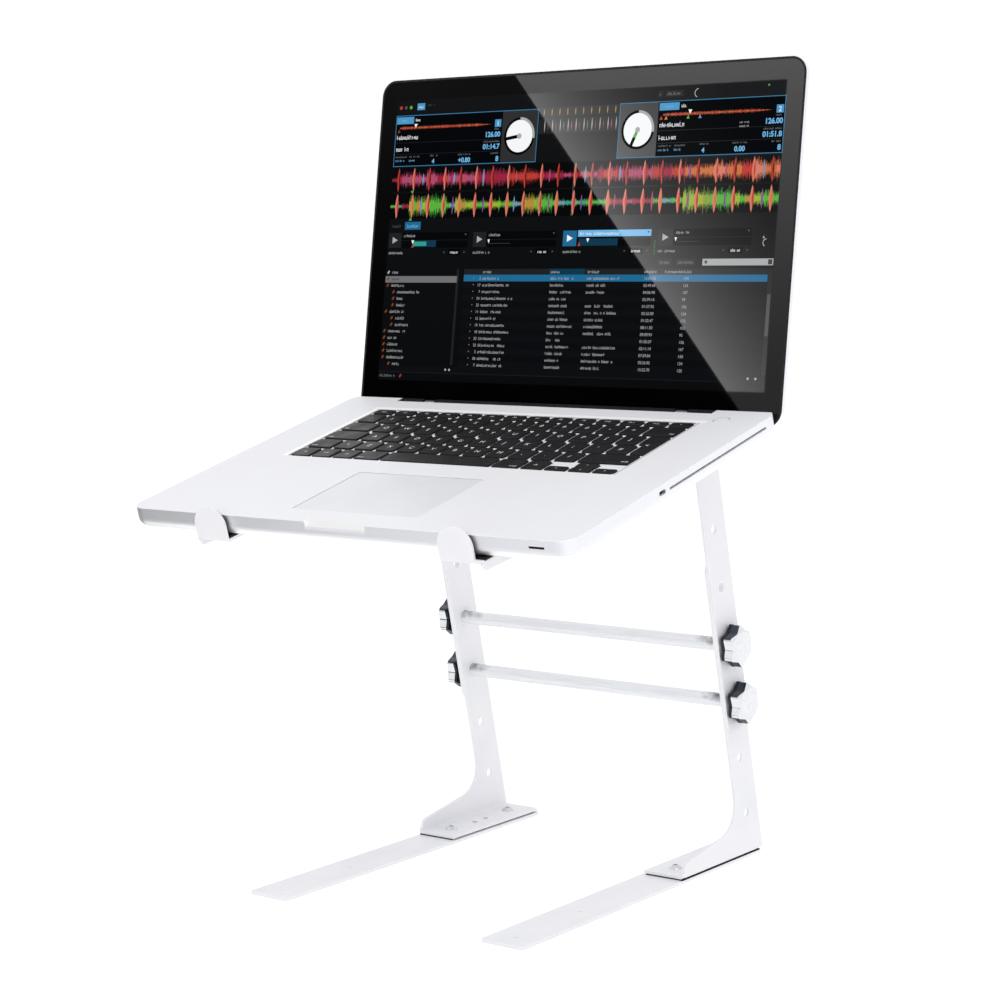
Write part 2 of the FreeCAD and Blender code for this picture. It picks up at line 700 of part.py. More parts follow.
def battery():
    cells = []
    for i in range(3):
        x0 = -112.0 + i * 58.0
        cells.append(slab(x0, x0 + 57.0, -114.0, -28.0, -13.2, -5.2, 2.0))
    return on_deck(group(cells))


def logic_board():
    board = slab(-168.0, 46.0, -10.0, 108.0, -6.0, -5.0, 2.0)
    for x, y in FAN_CENTRES:
        board = board.cut(cylinder_z(x, y, -7, -4, FAN_R + 4.5))
    for x in KNUCKLE_XS:
        board = board.cut(box(x - 8, x + 8, 94, 112, -7, -4))
    chips = [slab(x, x + 20, y, y + 20, -7.4, -6.0, 0.6) for x, y in ((-72.0, 28.0), (-76.0, 62.0))]
    modules = box(-60.0, 8.0, -4.0, 24.0, -9.8, -6.0)
    return on_deck(fuse_all([board, modules] + chips))


def optical_drive():
    drive = slab(52.0, 176.0, -26.0, 92.0, -13.2, -5.0, 3.0)
    slot = box(170.0, 180.0, -14.0, 91.0, -6.4, -5.2)
    return on_deck(drive.cut(slot))


def hard_drive():
    return on_deck(slab(72.0, 172.0, -112.0, -43.0, -13.2, -5.2, 2.0))


def speakers():
    left = slab(-174.0, -120.0, -104.0, -30.0, -13.0, -5.0, 4.0)
    right = slab(52.0, 68.0, 96.0, 108.0, -12.5, -6.0, 2.0)
    return on_deck(group([left, right]))


def cooling_pipes():
    block = slab(-80.0, -48.0, 28.0, 84.0, -9.0, -7.5, 1.0)
    runs = []
    for y in (88.0, 94.0):
        runs.append(box(-92.0, -29.0, y, y + 4.5, -9.0, -7.5))
    stem = box(-70.0, -58.0, 80.0, 96.0, -9.0, -7.5)
    return on_deck(fuse_all([block, stem] + runs))


def fan_housings():
    """Two blower housings, open below at the eye and behind at the outlet."""
    housings = []
    for x, y in FAN_CENTRES:
        low, high = FAN_Z
        shell = slab(x - 28, x + 28, y - 28, y + 29, low, high, 6.0)
        shell = shell.cut(cylinder_z(x, y, low + 0.8, high - 0.8, FAN_R + 1.4))
        shell = shell.cut(cylinder_z(x, y, low - 1, low + 1, 16.0))
        shell = shell.cut(box(x - 22, x + 22, y, y + 40, low + 0.8, high - 0.8))
        housings.append(fuse_all([shell, cylinder_z(x, y, low + 2.0, high - 0.8, 1.5)]))
    return on_deck(group(housings))


def fan_rotor(index):
    x, y = FAN_CENTRES[index]
    low = FAN_Z[0] + 1.2
    high = FAN_Z[1] - 1.2
    parts = [cylinder_z(x, y, low, high, 9.0)]
    for i in range(19):
        blade = box(x + 8, x + FAN_R, y - 0.4, y + 0.4, low, high)
        blade.rotate(Vector(x, y, 0), Vector(0, 0, 1), 360 * i / 19)
        parts.append(blade)
    return on_deck(fuse_all(parts).cut(cylinder_z(x, y, low - 1, high + 1, 1.5 + RUN)))


def rear_vent():
    """Slotted strip that closes the case in front of the hinge barrel."""
    strip = box(-NOTCH_HALF_W + 0.2, NOTCH_HALF_W - 0.2, NOTCH_FRONT_Y - 1.6, NOTCH_FRONT_Y, NOTCH_FLOOR_Z + 0.2, -SKIN)
    cuts = [box(x - 6.2, x + 6.2, NOTCH_FRONT_Y - 3, NOTCH_FRONT_Y + 1, -12, -2) for x in KNUCKLE_XS]
    for x, y in FAN_CENTRES:
        cuts += [box(x - 20 + 4 * i, x - 18 + 4 * i, NOTCH_FRONT_Y - 3, NOTCH_FRONT_Y + 1, -10.5, -5)
                 for i in range(10) if abs(abs(x - 19 + 4 * i) - abs(KNUCKLE_XS[0])) > 8]
    return on_deck(strip.cut(group(cuts)))


def receiver_window():
    """Dark window in the front wall, with the flange that holds it from behind."""
    x0, x1, z0, z1 = RECEIVER
    window = box(x0 + 0.2, x1 - 0.2, CASE_FRONT_Y + 0.3, CASE_FRONT_Y + 5.2, z0 + 0.15, z1 - 0.15)
    flange = box(x0 - 1, x1 + 1, CASE_FRONT_Y + 5.1, CASE_FRONT_Y + 7.5, -7.2, -3.2)
    return window.fuse(flange)


def port_inserts():
    """Dark plastic behind every opening in the case's sides."""
    pieces = []
    back = CASE_W / 2 - WALL
    for y, w, h in LEFT_PORTS:
        pieces.append(box(-back, -back + 5, y - w / 2 - 1, y + w / 2 + 1, -7.6, -2.4))
    for y in AUDIO_YS:
        pieces.append(box(-back, -back + 5, y - 3.5, y + 3.5, -7.6, -2.4))
    pieces.append(box(back - 3, back, LOCK_SLOT[0] - 1, LOCK_SLOT[1] + 1, -7.4, -2.6))
    pieces.append(receiver_window())
    return on_deck(group(pieces))


def hinge_brackets():
    """Knuckles that carry the lid's pins, with the feet that bolt under the top skin."""
    brackets = []
    for x in KNUCKLE_XS:
        x0 = x - KNUCKLE_W / 2
        x1 = x + KNUCKLE_W / 2
        ring = cylinder_x(x0, x1, HINGE_Y, HINGE_Z, KNUCKLE_R)
        arm = box(x0, x1, 99.0, HINGE_Y, HINGE_Z - 4.3, HINGE_Z - 0.8)
        foot = box(x0, x1, 97.0, 105.0, HINGE_Z - 4.3, -SKIN)
        bracket = fuse_all([ring, arm, foot])
        brackets.append(bracket.cut(cylinder_x(x0 - 1, x1 + 1, HINGE_Y, HINGE_Z, PIN_R + RUN)))
    return on_deck(group(brackets))


# ---------------------------------------------------------------- lid, built shut
def lid_neck_cut(z0, z1):
    return box(-NOTCH_HALF_W + 0.4, NOTCH_HALF_W - 0.4, NOTCH_FRONT_Y + 0.4, CASE_REAR_Y + 2, z0, z1)


def lid_shell():
    w = CASE_W / 2
    top = LID_GAP + LID_T
    shell = slab(-w, w, CASE_FRONT_Y, CASE_REAR_Y, LID_GAP, top, CASE_CORNER_R)
    shell = shell.makeFillet(4.0, edges_at_z(shell, top))
    pocket = slab(-w + 1.2, w - 1.2, CASE_FRONT_Y + 1.2, CASE_REAR_Y - 1.2, 0, LID_GAP + 0.9, CASE_CORNER_R - 1.2)
    deep = slab(-w + 5, w - 5, CASE_FRONT_Y + 5, CASE_REAR_Y - 5, 0, top - 1.5, CASE_CORNER_R - 5)
    return in_lid(shell.cut(pocket).cut(deep))


def cover_glass():
    w = CASE_W / 2 - 1.7
    glass = slab(-w, w, CASE_FRONT_Y + 1.7, glass_rear_y, LID_GAP, LID_GAP + 0.8, CASE_CORNER_R - 1.7)
    return in_lid(glass.cut(lid_neck_cut(0, 3)))


def lid_gasket():
    w = CASE_W / 2
    outer = slab(-w + 0.2, w - 0.2, CASE_FRONT_Y + 0.2, CASE_REAR_Y - 0.2, 0.25, LID_GAP, CASE_CORNER_R - 0.2)
    lip = slab(-w + 1.25, w - 1.25, CASE_FRONT_Y + 1.25, CASE_REAR_Y - 1.25, 0.25, LID_GAP + 0.8,
               CASE_CORNER_R - 1.25)
    inner = slab(-w + 1.7, w - 1.7, CASE_FRONT_Y + 1.7, glass_rear_y, 0, 3, CASE_CORNER_R - 1.7)
    return in_lid(fuse_all([outer, lip]).cut(inner).cut(lid_neck_cut(0, 3)))


def display_panel():
    return in_lid(box(-171.0, 171.0, CASE_FRONT_Y + 9, 103.0, LID_GAP + 0.9, LID_GAP + 3.4))


def camera_module():
    return in_lid(box(-16.0, 16.0, CASE_FRONT_Y + 5.4, CASE_FRONT_Y + 8.6, LID_GAP + 0.9, LID_GAP + 3.0))


def clutch_cover():
    """Dark barrel along the hinge line, with the neck that joins it to the lid."""
    end = NOTCH_HALF_W - 0.5
    barrel = cylinder_x(-end, end, HINGE_Y, HINGE_Z, BARREL_R)
    neck = box(-end, end, NOTCH_FRONT_Y + 0.8, HINGE_Y + 2.6, HINGE_Z, LID_GAP + 0.9)
    cover = fuse_all([barrel, neck])
    for x in KNUCKLE_XS:
        x0 = x - KNUCKLE_W / 2 - 0.5
        x1 = x + KNUCKLE_W / 2 + 0.5
        cover = cover.cut(cylinder_x(x0, x1, HINGE_Y, HINGE_Z, BARREL_R + 0.01))
    return in_lid(cover.cut(cylinder_x(-end - 1, end + 1, HINGE_Y, HINGE_Z, PIN_R)))


def hinge_pins():
    pins = []
    for x in KNUCKLE_XS:
        pins.append(cylinder_x(x - 12.0, x + 12.0, HINGE_Y, HINGE_Z, PIN_R))
    return in_lid(group(pins))


# ---------------------------------------------------------------- the whole part
def build():
    nodes = {
        "right_foot_bar": foot_bar(),
        "foot_pads": foot_pads(),
        "right_lower_leg": lower_leg(),
        "flange_gaskets": flange_gaskets(),
        "flange_screws": flange_screws(),
        "right_support_arm": support_arm(RIGHT_ARM_INNER_X),
        "left_support_arm": mirrored(support_arm(LEFT_ARM_INNER_X)),
        "right_arm_pad": arm_pad(RIGHT_ARM_INNER_X),
        "left_arm_pad": mirrored(arm_pad(LEFT_ARM_INNER_X)),
        "upper_crossbar": crossbar(3),
        "lower_crossbar": crossbar(2),
        "right_upper_washer": knob_washer(3),
        "right_lower_washer": knob_washer(2),
        "right_upper_knob": star_knob(3),
        "right_lower_knob": star_knob(2),
        "right_upper_stud": knob_stud(3),
        "right_lower_stud": knob_stud(2),
        "base_case": base_case(),
        "bottom_cover": bottom_cover(),
        "cover_screws": cover_screws(),
        "laptop_feet": laptop_feet(),
        "keyboard_tray": keyboard_tray(),
        "trackpad": trackpad(),
        "power_button": power_button(),
        "return_key": return_key(),
        "battery": battery(),
        "logic_board": logic_board(),
        "optical_drive": optical_drive(),
        "hard_drive": hard_drive(),
        "speakers": speakers(),
        "cooling_pipes": cooling_pipes(),
        "fan_housings": fan_housings(),
        "left_fan_rotor": fan_rotor(0),
        "right_fan_rotor": fan_rotor(1),
        "rear_vent": rear_vent(),
        "port_inserts": port_inserts(),
        "hinge_brackets": hinge_brackets(),
        "lid_shell": lid_shell(),
        "cover_glass": cover_glass(),
        "lid_gasket": lid_gasket(),
        "display_panel": display_panel(),
        "camera_module": camera_module(),
        "clutch_cover": clutch_cover(),
        "hinge_pins": hinge_pins(),
    }
    for name in key_layout():
        nodes[name] = key_group(name)
    for name in [node for node in nodes if node.startswith("right_")]:
        opposite = name.replace("right_", "left_")
        if opposite not in nodes:
            nodes[opposite] = mirrored(nodes[name])
    return nodes


def main():
    os.makedirs("parts", exist_ok=True)
    for name, shape in build().items():
        shape.exportStep(os.path.join("parts", name + ".step"))


if __name__ == "__main__":
    main()
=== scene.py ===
"""Looks for the notebook on its stand: finishes, the picture on the screen, the key legends,
the floor, the light and the camera. Metres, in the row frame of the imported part."""

import json
import math
import random

import bmesh
import bpy
from mathutils import Matrix, Vector


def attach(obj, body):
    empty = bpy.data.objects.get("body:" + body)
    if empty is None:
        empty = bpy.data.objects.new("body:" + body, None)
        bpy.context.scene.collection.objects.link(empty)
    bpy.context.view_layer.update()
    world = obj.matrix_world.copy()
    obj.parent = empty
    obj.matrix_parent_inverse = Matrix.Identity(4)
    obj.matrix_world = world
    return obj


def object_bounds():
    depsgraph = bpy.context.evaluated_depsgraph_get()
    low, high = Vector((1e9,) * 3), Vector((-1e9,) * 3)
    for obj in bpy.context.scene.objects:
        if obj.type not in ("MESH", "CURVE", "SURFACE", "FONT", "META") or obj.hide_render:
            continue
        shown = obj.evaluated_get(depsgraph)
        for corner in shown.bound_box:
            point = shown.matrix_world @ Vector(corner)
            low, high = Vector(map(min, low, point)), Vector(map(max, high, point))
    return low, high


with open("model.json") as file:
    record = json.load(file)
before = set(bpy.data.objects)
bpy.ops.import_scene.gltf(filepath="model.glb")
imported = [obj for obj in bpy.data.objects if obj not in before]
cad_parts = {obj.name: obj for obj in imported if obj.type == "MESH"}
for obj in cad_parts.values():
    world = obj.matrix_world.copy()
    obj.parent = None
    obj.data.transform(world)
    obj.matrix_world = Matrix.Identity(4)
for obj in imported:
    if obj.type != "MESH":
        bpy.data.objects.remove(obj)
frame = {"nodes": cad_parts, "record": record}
cad_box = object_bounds()
nodes = frame["nodes"]
MM = 0.001

# ---- where the notebook sits (the same driving dimensions as the part) ----
TILT = math.radians(14.1)
LID_OPEN = math.radians(112.5)
DECK_ORIGIN = Vector((0, -39.55, 297.5)) * MM
HINGE = Vector((0, 118.75, -5.5)) * MM      # in the deck frame
LID_FOOT_Y = 110.31 * MM                    # deck-frame y of the lid's height 0, with the lid shut
GLASS_Z = 0.5 * MM                          # height of the glass over the palm rest, likewise
KEY_TOP_Z = 0.2 * MM

# painted detail of the top case, in the deck frame
CASE_FRONT_Y = -124.65 * MM
SCOOP_HALF_W = 25.4 * MM
SCOOP_WALL = (0.6 * MM, 1.2 * MM)           # the front wall fades into the scoop between these depths
WELL_HALF_W = 137.5 * MM                    # the keyboard well, with a painted highlight along its bevel
WELL_FRONT_Y = -10.6 * MM
WELL_REAR_Y = 93.3 * MM
# width of the painted highlight band along the well's left and rear
WELL_HIGHLIGHT_W = 4.6 * MM
WELL_SHADOW = (0.6 * MM, 1.4 * MM)          # the dark line lies this far to the right of the well

TO_RIGHT = (1, 0, 0)
TO_TOP = (0, 0, 1)
DECK_UP = Vector((0, -math.sin(TILT), math.cos(TILT)))
DECK_BACK = Vector((0, math.cos(TILT), math.sin(TILT)))
DECK_SHIFT = DECK_ORIGIN.dot(DECK_BACK)     # a deck-frame y plus this is the distance along DECK_BACK

KNOB_SKIRT_X = 122.7 * MM                   # the knobs' black skirts end this far from the middle

# ---- camera ----
CAMERA_PLACE = (0.99273, -1.29977, 0.45098)
CAMERA_AZIMUTH = math.radians(37.11)
CAMERA_ELEVATION = math.radians(6.95)
CAMERA_ROLL = math.radians(-0.88)
LENS_MM = 86.8
SHIFT_X = 0.0011
SHIFT_Y = 0.021

deck = Matrix.Translation(DECK_ORIGIN) @ Matrix.Rotation(TILT, 4, "X")
lid_turn = Matrix.Translation(HINGE) @ Matrix.Rotation(-LID_OPEN, 4, "X") @ Matrix.Translation(-HINGE)
lid_foot = Matrix.Translation((0, LID_FOOT_Y, GLASS_Z)) @ Matrix.Rotation(math.pi, 4, "X")
# lid frame: x to the right, y up the lid, z out of the glass
lid = deck @ lid_turn @ lid_foot


# ---------------------------------------------------------------- shader helpers
def linear(hex_colour):
    """Scene-linear colour of a six-digit sRGB colour."""
    parts = [int(hex_colour[i:i + 2], 16) / 255 for i in (0, 2, 4)]
    return tuple(c / 12.92 if c <= 0.04045 else ((c + 0.055) / 1.055) ** 2.4 for c in parts) + (1.0,)


def new_material(name, colour, roughness, metallic=0.0, specular=0.5):
    material = bpy.data.materials.new(name)
    material.use_nodes = True
    shader = material.node_tree.nodes["Principled BSDF"]
    shader.inputs["Base Color"].default_value = linear(colour)
    shader.inputs["Roughness"].default_value = roughness
    shader.inputs["Metallic"].default_value = metallic
    shader.inputs["Specular IOR Level"].default_value = specular
    return material


def shader_of(material):
    return material.node_tree.nodes["Principled BSDF"]


def add_node(material, kind, **inputs):
    node = material.node_tree.nodes.new(kind)
    for name, value in inputs.items():
        node.inputs[name.replace("_", " ")].default_value = value
    return node


def link(material, output, target):
    material.node_tree.links.new(output, target)


def noise(material, scale, detail=3.0, stretch=(1, 1, 1)):
    """Noise over the object's own metres; scale is in features per metre."""
    place = add_node(material, "ShaderNodeTexCoord")
    mapping = add_node(material, "ShaderNodeMapping", Scale=stretch)
    texture = add_node(material, "ShaderNodeTexNoise", Scale=scale, Detail=detail)
    link(material, place.outputs["Object"], mapping.inputs["Vector"])
    link(material, mapping.outputs["Vector"], texture.inputs["Vector"])
    return texture.outputs["Fac"]


def stretched(material, fac, low, high, out_low, out_high):
    """fac from low..high brought to out_low..out_high."""
    node = add_node(material, "ShaderNodeMapRange",
                    From_Min=low, From_Max=high, To_Min=out_low, To_Max=out_high)
    link(material, fac, node.inputs["Value"])
    return node.outputs["Result"]


def speckles(material, scale, detail, low, high, stretch=(1, 1, 1)):
    """Noise from low..high brought to 0..1."""
    return stretched(material, noise(material, scale, detail, stretch), low, high, 0.0, 1.0)


def combine(material, operation, a, b):
    node = add_node(material, "ShaderNodeMath")
    node.operation = operation
    link(material, a, node.inputs[0])
    link(material, b, node.inputs[1])
    return node.outputs["Value"]


def multiply(material, a, b):
    return combine(material, "MULTIPLY", a, b)


def mix_colours(material, fac, first, second):
    """first and second are sRGB hex colours or sockets."""
    node = add_node(material, "ShaderNodeMix")
    node.data_type = "RGBA"
    link(material, fac, node.inputs["Factor"])
    for socket, value in ((node.inputs[6], first), (node.inputs[7], second)):
        if isinstance(value, str):
            socket.default_value = linear(value)
        else:
            link(material, value, socket)
    return node.outputs[2]


def along(material, direction, source="Object"):
    """The object's own coordinate along a direction."""
    place = add_node(material, "ShaderNodeTexCoord")
    dot = add_node(material, "ShaderNodeVectorMath")
    dot.operation = "DOT_PRODUCT"
    dot.inputs[1].default_value = direction
    link(material, place.outputs[source], dot.inputs[0])
    return dot.outputs["Value"]


def facing(material, direction):
    """How far the surface turns towards a direction, 1 when square to it."""
    return along(material, direction, "Normal")


def distance_out(material):
    """Metres to the left or right of the middle of the stand."""
    size = add_node(material, "ShaderNodeMath")
    size.operation = "ABSOLUTE"
    link(material, along(material, TO_RIGHT), size.inputs[0])
    return size.outputs["Value"]


def between(material, fac, low, high, soft=0.2 * MM):
    """1 from low to high, 0 outside."""
    rise = stretched(material, fac, low - soft, low, 0.0, 1.0)
    fall = stretched(material, fac, high, high + soft, 1.0, 0.0)
    return multiply(material, rise, fall)


def edge_mask(material, radius):
    """1 along sharp edges, 0 on open faces."""
    bevel = add_node(material, "ShaderNodeBevel", Radius=radius)
    geometry = add_node(material, "ShaderNodeNewGeometry")
    dot = add_node(material, "ShaderNodeVectorMath")
    dot.operation = "DOT_PRODUCT"
    link(material, bevel.outputs["Normal"], dot.inputs[0])
    link(material, geometry.outputs["Normal"], dot.inputs[1])
    return stretched(material, dot.outputs["Value"], 0.93, 0.999, 1.0, 0.0)


def set_colour(material, socket):
    link(material, socket, shader_of(material).inputs["Base Color"])


def set_roughness(material, scale, detail, low, high, smoothest, roughest):
    """Roughness that follows noise from low..high."""
    patches = stretched(material, noise(material, scale, detail), low, high, smoothest, roughest)
    link(material, patches, shader_of(material).inputs["Roughness"])


def set_bump(material, scale, detail, strength, distance, stretch=(1, 1, 1)):
    bump = add_node(material, "ShaderNodeBump", Strength=strength, Distance=distance)
    link(material, noise(material, scale, detail, stretch), bump.inputs["Height"])
    link(material, bump.outputs["Normal"], shader_of(material).inputs["Normal"])


def set_glow(material, colour, strength):
    """Makes a material shine by itself."""
    shader_of(material).inputs["Emission Color"].default_value = colour
    shader_of(material).inputs["Emission Strength"].default_value = strength


# ---------------------------------------------------------------- finishes
def powder_coat():
    """White powder coat: fine orange peel, faint handling marks, and edges painted brighter as a highlight,
    in patches.
    """
    m = new_material("powder_coat", "eaeaed", 0.42)
    body = mix_colours(m, speckles(m, 22, 4, 0.45, 0.75), "eaeaed", "e4e5e8")
    edge_highlight_patches = stretched(m, noise(m, 160, 3), 0.35, 0.6, 0.25, 1.0)
    # painted highlight: sharp edges are painted near-white, broken up in patches by noise
    set_colour(m, mix_colours(m, multiply(m, edge_mask(m, 0.0007), edge_highlight_patches), body, "fbfbfc"))
    set_roughness(m, 60, 3, 0.3, 0.7, 0.36, 0.5)
    set_bump(m, 900, 2, 0.10, 0.0004)
    return m


def well_bevel(material):
    """1 on the band along the left and the rear of the keyboard well that is painted white as a highlight of
    its bevel.
    """
    x = along(material, TO_RIGHT)
    y = along(material, DECK_BACK)
    front = DECK_SHIFT + WELL_FRONT_Y
    rear = DECK_SHIFT + WELL_REAR_Y
    outer = WELL_HALF_W + WELL_HIGHLIGHT_W
    left_highlight = multiply(material, between(material, x, -outer, -WELL_HALF_W),
                          between(material, y, front, rear))
    rear_highlight = multiply(material, between(material, y, rear, rear + WELL_HIGHLIGHT_W),
                          between(material, x, -outer, outer))
    return combine(material, "MAXIMUM", left_highlight, rear_highlight)


def well_shadow(material):
    """1 on the thin dark line along the right of the keyboard well."""
    near, far = WELL_SHADOW
    x = between(material, along(material, TO_RIGHT), WELL_HALF_W + near, WELL_HALF_W + far)
    y = between(material, along(material, DECK_BACK), DECK_SHIFT + WELL_FRONT_Y, DECK_SHIFT + WELL_REAR_Y)
    return multiply(material, x, y)


def thumb_scoop(material):
    """1 in the middle of the case anywhere behind its front wall."""
    front = DECK_SHIFT + CASE_FRONT_Y
    near, far = SCOOP_WALL
    behind = stretched(material, along(material, DECK_BACK), front + near, front + far, 0.0, 1.0)
    middle = stretched(material, distance_out(material), SCOOP_HALF_W, SCOOP_HALF_W + 0.5 * MM, 1.0, 0.0)
    return multiply(material, behind, middle)


def anodised():
    """Bead-blasted aluminium: satin white on the flat deck, more mirror-like round the machined walls."""
    m = new_material("anodised", "eaeaec", 0.42, specular=0.15)
    deck_colour = mix_colours(m, speckles(m, 9, 3, 0.35, 0.7), "ecedf0", "eaeaed")
    # painted highlight: a white band along the left and the rear of the keyboard well
    bevel_highlighted = mix_colours(m, well_bevel(m), deck_colour, "ffffff")
    flat = mix_colours(m, well_shadow(m), bevel_highlighted, "a8a9ad")
    wall = stretched(m, facing(m, DECK_UP), 0.80, 0.97, 1.0, 0.0)
    case = mix_colours(m, wall, flat, "eff0f4")
    # painted highlight: the walls inside the thumb scoop are painted white
    scoop_highlighted = mix_colours(m, multiply(m, wall, thumb_scoop(m)), case, "ffffff")
    # painted light: surfaces facing down are painted white
    painted_underside_light = stretched(m, facing(m, DECK_UP), -0.45, -0.15, 1.0, 0.0)
    body = mix_colours(m, painted_underside_light, scoop_highlighted, "ffffff")
    # painted highlight: sharp edges of the case are painted near-white
    set_colour(m, mix_colours(m, edge_mask(m, 0.0006), body, "fafafc"))
    link(m, stretched(m, wall, 0.0, 1.0, 0.03, 0.85), shader_of(m).inputs["Metallic"])
    set_roughness(m, 2600, 2, 0.3, 0.7, 0.38, 0.5)
    set_bump(m, 5200, 2, 0.12, 0.0001)
    return m


def galvanised_rod():
    """Zinc on drawn rod: fine lines along X, with mottled dark ends by the legs, darker on the right."""
    m = new_material("galvanised_rod", "e4e6e9", 0.42, metallic=0.3)
    body = mix_colours(m, speckles(m, 900, 3, 0.35, 0.65, (0.04, 1, 1)), "e5e7ea", "eef0f2")
    ends = stretched(m, distance_out(m), 0.084, 0.110, 0.0, 1.0)
    upper = stretched(m, facing(m, TO_TOP), -0.3, 0.4, 0.3, 1.0)
    side = stretched(m, along(m, TO_RIGHT), -0.08, 0.08, 0.68, 1.0)
    blotch = multiply(m, multiply(m, ends, side), multiply(m, upper, noise(m, 170, 5)))
    set_colour(m, mix_colours(m, stretched(m, blotch, 0.16, 0.5, 0.0, 1.0), body, "4a4c52"))
    set_roughness(m, 300, 4, 0.3, 0.7, 0.36, 0.5)
    set_bump(m, 1400, 3, 0.12, 0.0002, (0.05, 1, 1))
    return m


def knob_flanks(material):
    """1 on the sides of the lobes that look up or down, where a dark reflection is painted; 0 on the rest of
    the knob.
    """
    not_right = stretched(material, facing(material, TO_RIGHT), 0.3, 0.5, 1.0, 0.0)
    not_left = stretched(material, facing(material, (-1, 0, 0)), 0.3, 0.5, 1.0, 0.0)
    upper = stretched(material, facing(material, TO_TOP), 0.3, 0.42, 0.0, 1.0)
    lower = stretched(material, facing(material, (0, 0, -1)), 0.62, 0.7, 0.0, 1.0)
    round_the_rim = multiply(material, not_right, not_left)
    return multiply(material, round_the_rim, combine(material, "MAXIMUM", upper, lower))


def knob_chrome():
    """Plated knob: bright face and lobes, flanks painted dark as a reflection, and a black skirt behind."""
    m = new_material("knob_chrome", "e6e8ea", 0.08, metallic=1.0)
    plated = mix_colours(m, speckles(m, 260, 4, 0.45, 0.75), "e7e9eb", "dee0e3")
    # painted reflection: the flanks of the lobes that face up or down are painted dark slate
    dark_reflected = mix_colours(m, knob_flanks(m), plated, "454a52")
    skirt = stretched(m, distance_out(m), KNOB_SKIRT_X, KNOB_SKIRT_X + 0.1 * MM, 1.0, 0.0)
    set_colour(m, mix_colours(m, skirt, dark_reflected, "34383e"))
    set_roughness(m, 420, 4, 0.35, 0.75, 0.05, 0.16)
    set_bump(m, 260, 2, 0.12, 0.0003)
    return m


def circuit_board():
    """Solder mask over copper traces."""
    m = new_material("circuit_board", "1d4a35", 0.35)
    traces = add_node(m, "ShaderNodeTexBrick", Scale=140.0)
    place = add_node(m, "ShaderNodeTexCoord")
    link(m, place.outputs["Object"], traces.inputs["Vector"])
    for socket, colour in (("Color1", "1b4632"), ("Color2", "235a40"), ("Mortar", "2f7350")):
        traces.inputs[socket].default_value = linear(colour)
    set_colour(m, traces.outputs["Color"])
    set_bump(m, 900, 3, 0.15, 0.0002)
    return m


# Finishes of two mingled tones: the tones, their noise (as speckles), the roughness (as set_roughness),
# the bump (as set_bump) and the shader's own values.
TWO_TONE = {
    # dust in the grain
    "rubber": dict(tones=("161618", "2e2e31"), grain=(240, 5, 0.5, 0.75),
                   rough=(500, 3, 0.3, 0.7, 0.65, 0.85), bump=(1500, 3, 0.25, 0.0003), specular=0.35),
    "zinc_fastener": dict(tones=("c4c6cb", "e0e2e6"), grain=(700, 3, 0.35, 0.65),
                          rough=(900, 3, 0.3, 0.7, 0.24, 0.4), bump=(2500, 2, 0.1, 0.0001), metallic=1.0),
    "screw_steel": dict(tones=("97989d", "b9babf"), grain=(1200, 3, 0.35, 0.65),
                        rough=(1500, 3, 0.3, 0.7, 0.28, 0.45), bump=(3000, 2, 0.1, 0.0001), metallic=1.0),
    # etched glass, a shade darker than the palm rest, polished faintly by use
    "pad_glass": dict(tones=("e3e4e7", "dcdde1"), grain=(14, 3, 0.4, 0.7),
                      rough=(30, 4, 0.35, 0.7, 0.3, 0.44), bump=(6000, 2, 0.06, 0.0001), specular=0.25),
    # a fine matte grain, a little shinier where fingers rest
    "key_plastic": dict(tones=("101012", "18181a"), grain=(60, 4, 0.35, 0.7),
                        rough=(90, 4, 0.35, 0.7, 0.34, 0.5), bump=(5000, 2, 0.1, 0.0001), specular=0.24),
    "dark_plastic": dict(tones=("121214", "1c1c1f"), grain=(90, 4, 0.35, 0.7),
                         rough=(300, 3, 0.3, 0.7, 0.42, 0.6), bump=(3500, 2, 0.12, 0.0001), specular=0.12),
    "battery_black": dict(tones=("1b1b1d", "2a2a2d"), grain=(50, 4, 0.35, 0.7),
                          bump=(800, 3, 0.1, 0.0002), roughness=0.55),
    # brushed
    "drive_steel": dict(tones=("a2a4a9", "c2c4c8"), grain=(700, 3, 0.35, 0.65, (1, 0.05, 1)),
                        rough=(400, 3, 0.3, 0.7, 0.3, 0.48), metallic=1.0),
    # tarnished in patches
    "copper": dict(tones=("d39570", "9a5f3f"), grain=(70, 5, 0.4, 0.7),
                   rough=(200, 4, 0.3, 0.7, 0.22, 0.45), metallic=1.0),
    # polished, with a black border behind it; only faint smears break the gloss
    "screen_glass": dict(tones=("030304", "08080a"), grain=(12, 5, 0.45, 0.8, (1, 0.4, 1)),
                         rough=(18, 5, 0.5, 0.8, 0.01, 0.03)),
}
LEGEND_PAINT = dict(tones=("f6f6f4", "dcdcda"), grain=(700, 3, 0.35, 0.7))


def two_tone(name, tones, grain, rough=None, bump=None, roughness=0.5, metallic=0.0, specular=0.5):
    m = new_material(name, tones[0], roughness, metallic, specular)
    set_colour(m, mix_colours(m, speckles(m, *grain), *tones))
    if rough:
        set_roughness(m, *rough)
    if bump:
        set_bump(m, *bump)
    return m


def finish_cad_nodes():
    """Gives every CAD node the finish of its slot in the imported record."""
    materials = {name: two_tone(name, **recipe) for name, recipe in TWO_TONE.items()}
    for make in (powder_coat, anodised, galvanised_rod, knob_chrome, circuit_board):
        materials[make.__name__] = make()
    for part in frame["record"]["subparts"]:
        mesh = nodes[part["node"]].data
        mesh.materials.clear()
        mesh.materials.append(materials[part["material_slot"]])


